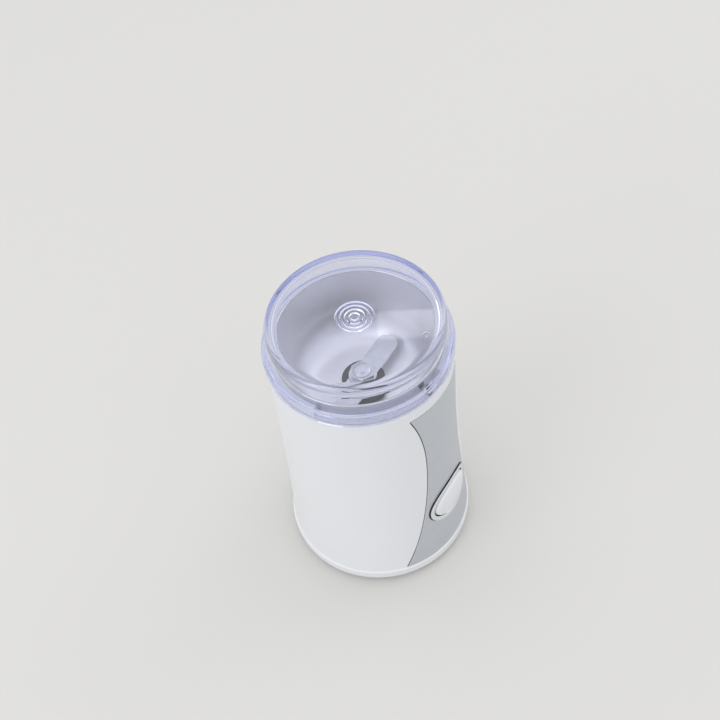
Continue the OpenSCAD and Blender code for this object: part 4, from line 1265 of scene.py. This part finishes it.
@dataclass
class Bowl:
    """The spun steel bowl with a rolled lip, and the white collar that stands round it."""

    lip_r: float = 36.6  # inside of the wall at its top
    lip_rise: float = 0.2  # from the rolled lip's centre to the wall's top
    edge_r: float = 33.9  # inside of the wall at its foot
    wall_h: float = 19.7
    curve_h: float = 18.0
    floor_r: float = 20.0
    sheet_t: float = 0.8
    bead_r: float = 0.7  # the rolled lip
    bead_arc: tuple[float, float] = (-40.0, 220.0)  # how far round the lip is rolled, in degrees
    neck_r: float = 8.3
    neck_h: float = 3.0
    neck_round: float = 0.35
    collar_slip: float = 0.15  # between the bowl and the collar
    window_from: float = 183.5  # the quarter of the collar that starts here is low
    window_z: float = 136.2
    window_size: float = 60.0
    slot_from: float = 37.15  # the pin's slot starts this far from the axis

    def bead_z(self) -> float:
        """Returns the height of the rolled lip's centre."""
        return span("grinding_bowl")[1].z - self.bead_r

    def edge_z(self) -> float:
        """Returns the height at which the bowl's wall runs into its curved foot."""
        return self.bead_z() + self.lip_rise - self.wall_h

    def outer_r(self, z: float) -> float:
        """Returns the outside radius of the bowl's wall at a height."""
        return self.edge_r + self.sheet_t + (self.lip_r - self.edge_r) * (z - self.edge_z()) / self.wall_h

    def make_bowl(self) -> None:
        """Builds the bowl: rolled lip, leaning wall, curved foot, flat floor and the neck for the shaft."""
        quarter = 28  # faces in the curved foot
        low = span("grinding_bowl")[0]
        edge_z = self.edge_z()
        floor = edge_z - self.curve_h
        reach = self.edge_r - self.floor_r
        bead = (self.lip_r + self.sheet_t / 2, self.bead_z())
        profile = arc(bead, (self.bead_r, self.bead_r), *self.bead_arc, 18)
        profile += arc((self.floor_r, edge_z), (reach, self.curve_h), 0, -90, quarter)
        neck_top, neck_in = floor + self.neck_h, self.neck_r - self.sheet_t
        profile += rounded([
            (self.floor_r - 1, floor), (self.neck_r, floor, 1.2), (self.neck_r, neck_top, self.neck_round),
            (neck_in, neck_top, self.neck_round), (neck_in, low.z, 1.0), (self.floor_r - 1, low.z),
        ])
        outer = (reach + self.sheet_t, self.curve_h + self.sheet_t)
        profile += arc((self.floor_r, edge_z), outer, -90, 0, quarter)
        mesh = mesh_of(lathe(profile, columns=256), "bowl")
        bowl = place("steel_grinding_bowl", mesh, Slot.STAINLESS, Body.HOUSING, ["grinding_bowl"])
        lip_z = self.bead_z() * MM
        coat(bowl, BRIGHT_STEEL, lambda face: looks_out(face) or face.center.z > lip_z)

    def make_collar(self) -> None:
        """Builds the collar, low at its window and with a slot for the interlock pin."""
        low, high = span("lid_collar")
        inner_low = self.outer_r(low.z) + self.collar_slip
        inner_high = self.outer_r(high.z) + self.collar_slip
        middle = (inner_low + high.x) / 2
        outline = rounded([
            (middle, low.z), (high.x, low.z, 0.2), (high.x, high.z, 0.5),
            (inner_high, high.z, 0.5), (inner_low, low.z, 0.2), (middle, low.z),
        ])[:-1]
        far = self.window_size
        window = block((0, 0, self.window_z), (far, far, high.z + PAST)).turned(self.window_from)
        slot = pin_slot(self.slot_from, high.x + PAST, low.z, high.z)
        mesh = carved(mesh_of(lathe(outline), "collar"), (Carve.CUT, window), (Carve.CUT, slot))
        place("white_lid_collar", mesh, Slot.WHITE, Body.HOUSING, ["lid_collar"])


# ---------- cutter ----------


@dataclass
class Cutter:
    """What turns in the bowl: the blade, the nut that holds it and the washer under it."""

    flat_half: float = 10.3  # half the length of the blade's flat middle
    ease_len: float = 2.5  # an arm takes its pitch over this length
    blade_w: float = 10.0
    blade_t: float = 1.6
    blade_edge: float = 0.1  # small bevel along the edges
    pitch: float = 9.0
    ground_w: float = 2.6
    keen_t: float = 0.35  # thickness of the ground edge
    tip_len: float = 4.0
    tip_round: float = 0.9  # how full the tip's curve is; 1 would bring it to a point
    hole_r: float = 3.02
    nut_r: float = 6.0  # to the hexagon's corners
    nut_wall_h: float = 3.8
    nut_flange_w: float = 0.6
    nut_flange_t: float = 1.0
    nut_flange_edge: float = 0.3
    nut_corner: float = 0.1  # how much the hexagon's corners are blunted
    nut_chamfer_h: float = 0.55
    nut_chamfer_slope: float = 1.4
    nut_dome_step: float = 1.4  # from the corners in to the dome
    washer_bore_r: float = 4.02
    washer_skirt_t: float = 1.1
    washer_plate_t: float = 2.0

    def section(self, x: float, half: float) -> list[Point]:
        """Draws the blade's cross-section.

        Args:
            x: the distance along the blade.
            half: half the blade's width there.

        Returns:
            The section's points, with its leading edge ground thin.
        """
        ease = min(1.0, max(0.0, (abs(x) - self.flat_half) / self.ease_len))
        tilt = math.radians(self.pitch * ease * ease * (3 - 2 * ease))
        thick, edge = self.blade_t / 2, self.blade_edge
        keen = self.keen_t + (self.blade_t - 2 * edge - self.keen_t) * (1 - ease)
        ground = min(self.ground_w, half)
        outline = [
            (-half, edge - thick), (-half + edge, -thick), (half - edge, -thick), (half, edge - thick),
            (half, edge - thick + keen), (half - ground, thick), (edge - half, thick), (-half, thick - edge),
        ]
        c, s = math.cos(tilt), math.sin(tilt)
        arm = [(y * c - z * s, y * s + z * c) for y, z in outline]
        if x < 0:
            # the other arm is this one turned half round, so its corners are met in the other order
            arm = [(-arm[i][0], arm[i][1]) for i in (3, 2, 1, 0, 7, 6, 5, 4)]
        return [(x, y, z) for y, z in arm]

    def make_blade(self) -> None:
        """Builds the blade: a flat bar with pitched, ground arms and rounded tips."""
        stations, least = 40, 0.4  # sections along each arm, and half the width at the very tip
        low, high = span("blade")
        reach, middle = high.x, (low.z + high.z) / 2
        rows = []
        for i in range(-stations, stations + 1):
            x = reach * math.sin(math.pi / 2 * i / stations)
            tip = max(0.0, (abs(x) - reach + self.tip_len) / self.tip_len)
            half = max(self.blade_w / 2 * math.sqrt(max(0.0, 1 - tip * tip * self.tip_round)), least)
            rows.append([(px, y, z + middle) for px, y, z in self.section(x, half)])
        bar = mesh_of(Shape.sheet(rows, wrap_columns=True, capped=True), "blade")
        mesh = carved(bar, (Carve.CUT, rod(self.hole_r, low.z - PAST, high.z + PAST)))
        place("grinding_blade", mesh, Slot.STAINLESS, Body.ROTOR, ["blade"], finish=GROUND_STEEL)

    def hexagon(self, turn: float, rise: float) -> float:
        """Works out how far out the nut's flat sides lie, with their corners cut back towards the top.

        Args:
            turn: the angle round the nut, in radians.
            rise: the height above the nut's underside.

        Returns:
            The radius there.
        """
        beside = (turn + math.pi / 6) % (math.pi / 3) - math.pi / 6
        flat = self.nut_r * math.cos(math.pi / 6) / math.cos(beside)
        past_chamfer = max(0.0, rise - self.nut_wall_h + self.nut_chamfer_h)
        return min(flat, self.nut_r - self.nut_corner - past_chamfer * self.nut_chamfer_slope)

    def make_nut(self) -> None:
        """Builds the dome nut: a flange, a chamfered hexagon and a dome."""
        columns, wall_rows = 180, 10
        low, high = span("blade_nut")
        turns = [2 * math.pi * i / columns for i in range(columns)]
        rim, soft, seat = self.nut_r + self.nut_flange_w, self.nut_flange_edge, self.nut_flange_t
        flange = [(rim - soft, 0.0), (rim, soft), (rim, seat - soft), (rim - soft, seat)]
        walls = [seat + (self.nut_wall_h - seat) * i / wall_rows for i in range(wall_rows + 1)]
        dome = (self.nut_r - self.nut_dome_step, high.z - low.z - self.nut_wall_h)
        rings = [([radius] * columns, rise) for radius, rise in flange]
        rings += [([self.hexagon(turn, rise) for turn in turns], rise) for rise in walls]
        rings += [([radius] * columns, rise) for radius, rise in arc((0, self.nut_wall_h), dome, 0, 90, 9)]
        rows = [[(0.0, 0.0, low.z)] * columns]
        for radii, rise in rings:
            rows.append([(r * math.cos(t), r * math.sin(t), low.z + rise) for r, t in zip(radii, turns)])
        mesh = mesh_of(Shape.sheet(rows, wrap_columns=True), "nut")
        place("blade_dome_nut", mesh, Slot.STAINLESS, Body.ROTOR, ["blade_nut"], finish=GROUND_STEEL)

    def make_washer(self) -> None:
        """Builds the washer that throws the grounds away from the shaft."""
        low, high = span("slinger_washer")
        bore, skirt_in, under = self.washer_bore_r, high.x - self.washer_skirt_t, high.z - self.washer_plate_t
        middle = (bore + high.x) / 2
        outline = rounded([
            (middle, high.z), (high.x, high.z, 0.5), (high.x, low.z, 0.25), (skirt_in, low.z, 0.25),
            (skirt_in, under, 0.4), (bore, under, 0.2), (bore, high.z, 0.2), (middle, high.z),
        ])[:-1]
        mesh = mesh_of(lathe(outline, columns=96), "washer")
        place("slinger_ring", mesh, Slot.BLACK, Body.ROTOR, ["slinger_washer"])


# ---------- base ----------


@dataclass
class Base:
    """The white base cover, its rubber feet and screws, and the gland of the cord inlet."""

    edge_round: float = 4.0
    plate_t: float = 2.4
    wall_in: float = 3.2  # from the cover's rim in to the inside of its wall
    bevel: float = 3.0  # slope between the plate and the wall
    post_r: float = 39.0  # the screws' distance from the axis
    boss_r: float = 5.2
    boss_root: float = 1.0  # how far above the cover's underside a boss starts, inside the plate
    screw_hole_r: float = 1.65
    head_hole_r: float = 3.2
    head_hole_depth: float = 3.9
    vents: int = 5
    vent_w: float = 3.0
    vent_pitch: float = 7.0
    vent_y: tuple[float, float] = (-12.0, 8.0)
    foot_circle: float = 34.0  # the feet's distance from the axis
    foot_angles: tuple[int, ...] = (45, 135, 225, 315)
    foot_r: float = 5.0
    foot_seat: float = 1.0  # how deep a foot is let into the cover
    foot_rim: float = 1.1
    foot_slope: float = 0.5
    foot_dish: float = 0.3
    head_r: float = 2.9
    head_t: float = 2.0
    screw_r: float = 1.5
    screw_tip: float = 0.4
    cross_half: float = 1.6
    cross_w: float = 0.6
    cross_depth: float = 1.1
    bore_r: float = 3.4
    gland_r: float = 5.0
    flange_r: float = 6.6
    flange_t: float = 2.0
    rib_in: float = 1.2  # from the gland's rim in to the groove on its flange
    groove_half: float = 0.15
    groove_depth: float = 0.3
    slip: float = 0.15  # room round the feet and the gland
    inlet_z: float = 20.0
    inlet_past: float = 5.0  # how far the inlet's cutters reach out past the gland

    def inlet_cutters(self) -> list[Shape]:
        """Builds what the cord inlet takes out of the housing's rear wall.

        Returns:
            The bore of the gland's sleeve and the seat of its flange.
        """
        low, high = span("cord_gland")
        rear = high.y + self.inlet_past
        sleeve = rod(self.gland_r + self.slip, low.y - PAST, rear)
        flange = rod(self.flange_r + self.slip, high.y - self.flange_t, rear)
        return [sleeve.laid_along_y(self.inlet_z), flange.laid_along_y(self.inlet_z)]

    def make_cover(self) -> None:
        """Builds the base cover, with screw bosses, seats for the feet and cooling slots."""
        low, high = span("base_cover")
        foot, plate, inner = low.z, low.z + self.plate_t, high.x - self.wall_in
        outline = rounded([
            (0.0, foot), (high.x, foot, self.edge_round), (high.x, high.z, 0.6), (inner, high.z, 0.2),
            (inner, plate + self.bevel, 0.5), (inner - self.bevel, plate, 0.5), (0.0, plate),
        ], steps=8)
        boss = rod(self.boss_r, foot + self.boss_root, high.z).moved(self.post_r, 0)
        hole = rod(self.screw_hole_r, foot - PAST, high.z + PAST).moved(self.post_r, 0)
        head_hole = rod(self.head_hole_r, foot - PAST, foot + self.head_hole_depth).moved(self.post_r, 0)
        seat = rod(self.foot_r + self.slip, foot - PAST, foot + self.foot_seat).moved(self.foot_circle, 0)
        tools = [(Carve.JOIN, boss.turned(angle)) for angle in POST_ANGLES]
        for angle in POST_ANGLES:
            tools += [(Carve.CUT, hole.turned(angle)), (Carve.CUT, head_hole.turned(angle))]
        tools += [(Carve.CUT, seat.turned(angle)) for angle in self.foot_angles]
        front, rear = self.vent_y
        half = self.vent_w / 2
        vent = block((-half, front, foot - PAST), (half, rear, plate + PAST))
        for i in range(self.vents):
            tools.append((Carve.CUT, vent.moved((i - (self.vents - 1) / 2) * self.vent_pitch, 0)))
        mesh = carved(mesh_of(lathe(outline, closed=False), "base"), *tools)
        place("white_base_cover", mesh, Slot.WHITE, Body.HOUSING, ["base_cover"])

    def make_feet(self) -> None:
        """Builds the four feet: pads with a rounded edge and a shallow dish."""
        low, high = span("rubber_feet")
        dish, rim_in = low.z + self.foot_dish, self.foot_r - self.foot_rim
        outline = rounded([
            (0.0, dish), (rim_in - self.foot_slope, dish, 0.3), (rim_in, low.z, 0.2),
            (self.foot_r, low.z, 0.7), (self.foot_r, high.z, 0.15), (0.0, high.z),
        ])
        pad = lathe(outline, closed=False, columns=64).moved(self.foot_circle, 0)
        shape = pad.turned(self.foot_angles[0])
        for angle in self.foot_angles[1:]:
            shape = shape + pad.turned(angle)
        place("rubber_foot_pads", mesh_of(shape, "feet"), Slot.RUBBER, Body.HOUSING, ["rubber_feet"])

    def make_screws(self) -> None:
        """Builds the three base screws: pan heads with a cross recess."""
        low, high = span("base_screws")
        under_head = low.z + self.head_t
        outline = rounded([
            (0.0, low.z), (self.head_r, low.z, 0.9), (self.head_r, under_head, 0.1),
            (self.screw_r, under_head, 0.1), (self.screw_r, high.z - self.screw_tip),
            (self.screw_r - self.screw_tip, high.z), (0.0, high.z),
        ])
        bar = block(
            (-self.cross_half, -self.cross_w / 2, low.z - PAST),
            (self.cross_half, self.cross_w / 2, low.z + self.cross_depth),
        )
        blank = mesh_of(lathe(outline, closed=False, columns=48), "screw")
        screw = carved(blank, (Carve.CUT, bar), (Carve.CUT, bar.turned(90)))
        out = Matrix.Translation((self.post_r * MM, 0, 0))
        work = bmesh.new()
        for angle in POST_ANGLES:
            copy = screw.copy()
            copy.transform(Matrix.Rotation(math.radians(angle), 4, "Z") @ out)
            work.from_mesh(copy)
        mesh = bpy.data.meshes.new("base_screws")
        work.to_mesh(mesh)
        work.free()
        place("base_cover_screws", mesh, Slot.ZINC, Body.HOUSING, ["base_screws"])

    def make_gland(self) -> None:
        """Builds the gland of the cord inlet: a sleeve and a flange with a groove round it."""
        low, high = span("cord_gland")
        seat, groove = high.y - self.flange_t, self.flange_r - self.rib_in - self.groove_half
        outline = rounded([
            (self.gland_r, seat - 1), (self.gland_r, seat), (self.flange_r, seat),
            (self.flange_r, high.y, 0.5), (groove + self.groove_half, high.y, 0.1),
            (groove, high.y - self.groove_depth, 0.1), (groove - self.groove_half, high.y, 0.1),
            (self.bore_r, high.y, 0.6), (self.bore_r, low.y, 0.2), (self.gland_r, low.y, 0.4),
            (self.gland_r, seat - 1),
        ])[:-1]
        mesh = mesh_of(lathe(outline, columns=96).laid_along_y(self.inlet_z), "gland")
        place("cord_inlet_gland", mesh, Slot.WHITE, Body.HOUSING, ["cord_gland"])


# ---------- studio ----------


@dataclass(frozen=True)
class Softbox:
    """A soft rectangular lamp that looks at the grinder. Its places and sides are in metres."""

    name: str
    at: Point
    sides: tuple[float, float]
    watts: float
    colour: str = "#FFFFFF"
    aim_at: Point = (0.0, 0.0, 0.08)

    def hang(self) -> None:
        """Hangs the lamp."""
        lamp = bpy.data.lights.new(self.name, "AREA")
        lamp.shape = "RECTANGLE"
        lamp.size, lamp.size_y = self.sides
        lamp.energy = self.watts
        lamp.color = linear(self.colour)[:3]
        holder = bpy.data.objects.new(self.name, lamp)
        holder.location = self.at
        aim = Vector(self.aim_at) - Vector(self.at)
        holder.rotation_euler = aim.to_track_quat("-Z", "Y").to_euler()
        bpy.context.scene.collection.objects.link(holder)


# the strip is weak, and only its reflection shows, as a veil across the lid's top
SOFTBOXES = (
    Softbox("rear_strip", (0.789, 0.47, 1.3), (0.15, 0.05), 0.034),
    Softbox("left_softbox", (-1.3, 0.4, 0.9), (1.0, 1.0), 4.0, "#FBFCFF"),
    Softbox("right_softbox", (1.2, -0.5, 1.1), (0.9, 0.9), 2.0),
)


@dataclass
class Studio:
    """A plain pale floor, pale walls that light the set, soft lamps and the camera.

    The camera's places are in metres.
    """

    camera_at: Point = (-0.25727, -0.19955, 0.54975)
    aim_at: Point = (-0.00584, -0.00411, 0.136)
    roll_deg: float = -8.337
    lens_mm: float = 59.27
    film_mm: float = 36.0
    nearest: float = 0.01
    floor_rings: tuple[float, ...] = (0.0, 200.0, 800.0, 4000.0)
    sky_strength: float = 1.2

    def make_floor(self) -> None:
        """Lays a wide round floor under the grinder."""
        rings = [(radius, 0.0) for radius in self.floor_rings]
        mesh = mesh_of(lathe(rings, closed=False, columns=96), "floor")
        mesh.materials.append(FLOOR_PAINT.material())
        floor = bpy.data.objects.new("floor", mesh)
        bpy.context.scene.collection.objects.link(floor)
        if mesh.polygons[0].normal.z < 0:
            mesh.flip_normals()

    def make_sky(self) -> None:
        """Surrounds the set with pale walls that are brighter overhead than at the floor."""
        world = bpy.data.worlds.new("studio_walls")
        world.use_nodes = True
        tree = world.node_tree
        tree.nodes.clear()
        way = add_node(tree, "ShaderNodeTexCoord").outputs["Generated"]
        up = add_node(tree, "ShaderNodeSeparateXYZ", {0: way}).outputs["Z"]
        ramp = add_node(tree, "ShaderNodeValToRGB", {0: up})
        stops = ramp.color_ramp.elements
        stops[0].position, stops[0].color = 0.0, linear("#8E9095")
        stops[1].position, stops[1].color = 0.8, linear("#FAFAFA")
        for position, colour in ((0.1, "#B9BBBF"), (0.35, "#DEDFE2")):
            stops.new(position).color = linear(colour)
        walls = {"Color": ramp.outputs[0], "Strength": self.sky_strength}
        back = add_node(tree, "ShaderNodeBackground", walls)
        add_node(tree, "ShaderNodeOutputWorld", {"Surface": back.outputs[0]})
        bpy.context.scene.world = world

    def make_camera(self) -> None:
        """Sets up the camera, which looks down on the lid."""
        at, aim = Vector(self.camera_at), Vector(self.aim_at)
        data = bpy.data.cameras.new("camera")
        data.lens = self.lens_mm
        data.sensor_width = self.film_mm
        data.clip_start = self.nearest
        camera = bpy.data.objects.new("camera", data)
        turn = (aim - at).to_track_quat("-Z", "Y").to_matrix().to_4x4()
        roll = Matrix.Rotation(math.radians(self.roll_deg), 4, "Z")
        camera.matrix_world = Matrix.Translation(at) @ turn @ roll
        bpy.context.scene.collection.objects.link(camera)
        bpy.context.scene.camera = camera

    def make(self) -> None:
        """Builds the floor, the lights and the camera."""
        self.make_floor()
        self.make_sky()
        for lamp in SOFTBOXES:
            lamp.hang()
        self.make_camera()
        bpy.context.scene.view_settings.view_transform = "Standard"


def dress_kept_nodes() -> None:
    """Gives every CAD node that is still shown the finish of its slot."""
    for part in frame["record"]["subparts"]:
        node = frame["nodes"][part["node"]]
        if node.hide_render:
            continue
        finish = FINISHES[Slot(part["material_slot"])]
        node.data.materials.clear()
        node.data.materials.append(finish.material())
        LOG.info("%s: kept, in %s", part["node"], finish.name)


def main() -> None:
    """Builds the grinder piece by piece, then the studio."""
    logging.basicConfig(level=logging.INFO, format="%(name)s: %(message)s")
    housing, button, lid, bowl, cutter, base = Housing(), PushButton(), Lid(), Bowl(), Cutter(), Base()
    housing.make_shell(button, base)
    housing.make_panel(button)
    button.make_bezel(housing.flare, housing.panel_t)
    button.make_button(housing.flare)
    lid.make()
    bowl.make_bowl()
    bowl.make_collar()
    cutter.make_blade()
    cutter.make_nut()
    cutter.make_washer()
    base.make_cover()
    base.make_feet()
    base.make_screws()
    base.make_gland()
    dress_kept_nodes()
    button.load_spring()
    Studio().make()


if __name__ == "__main__":
    main()
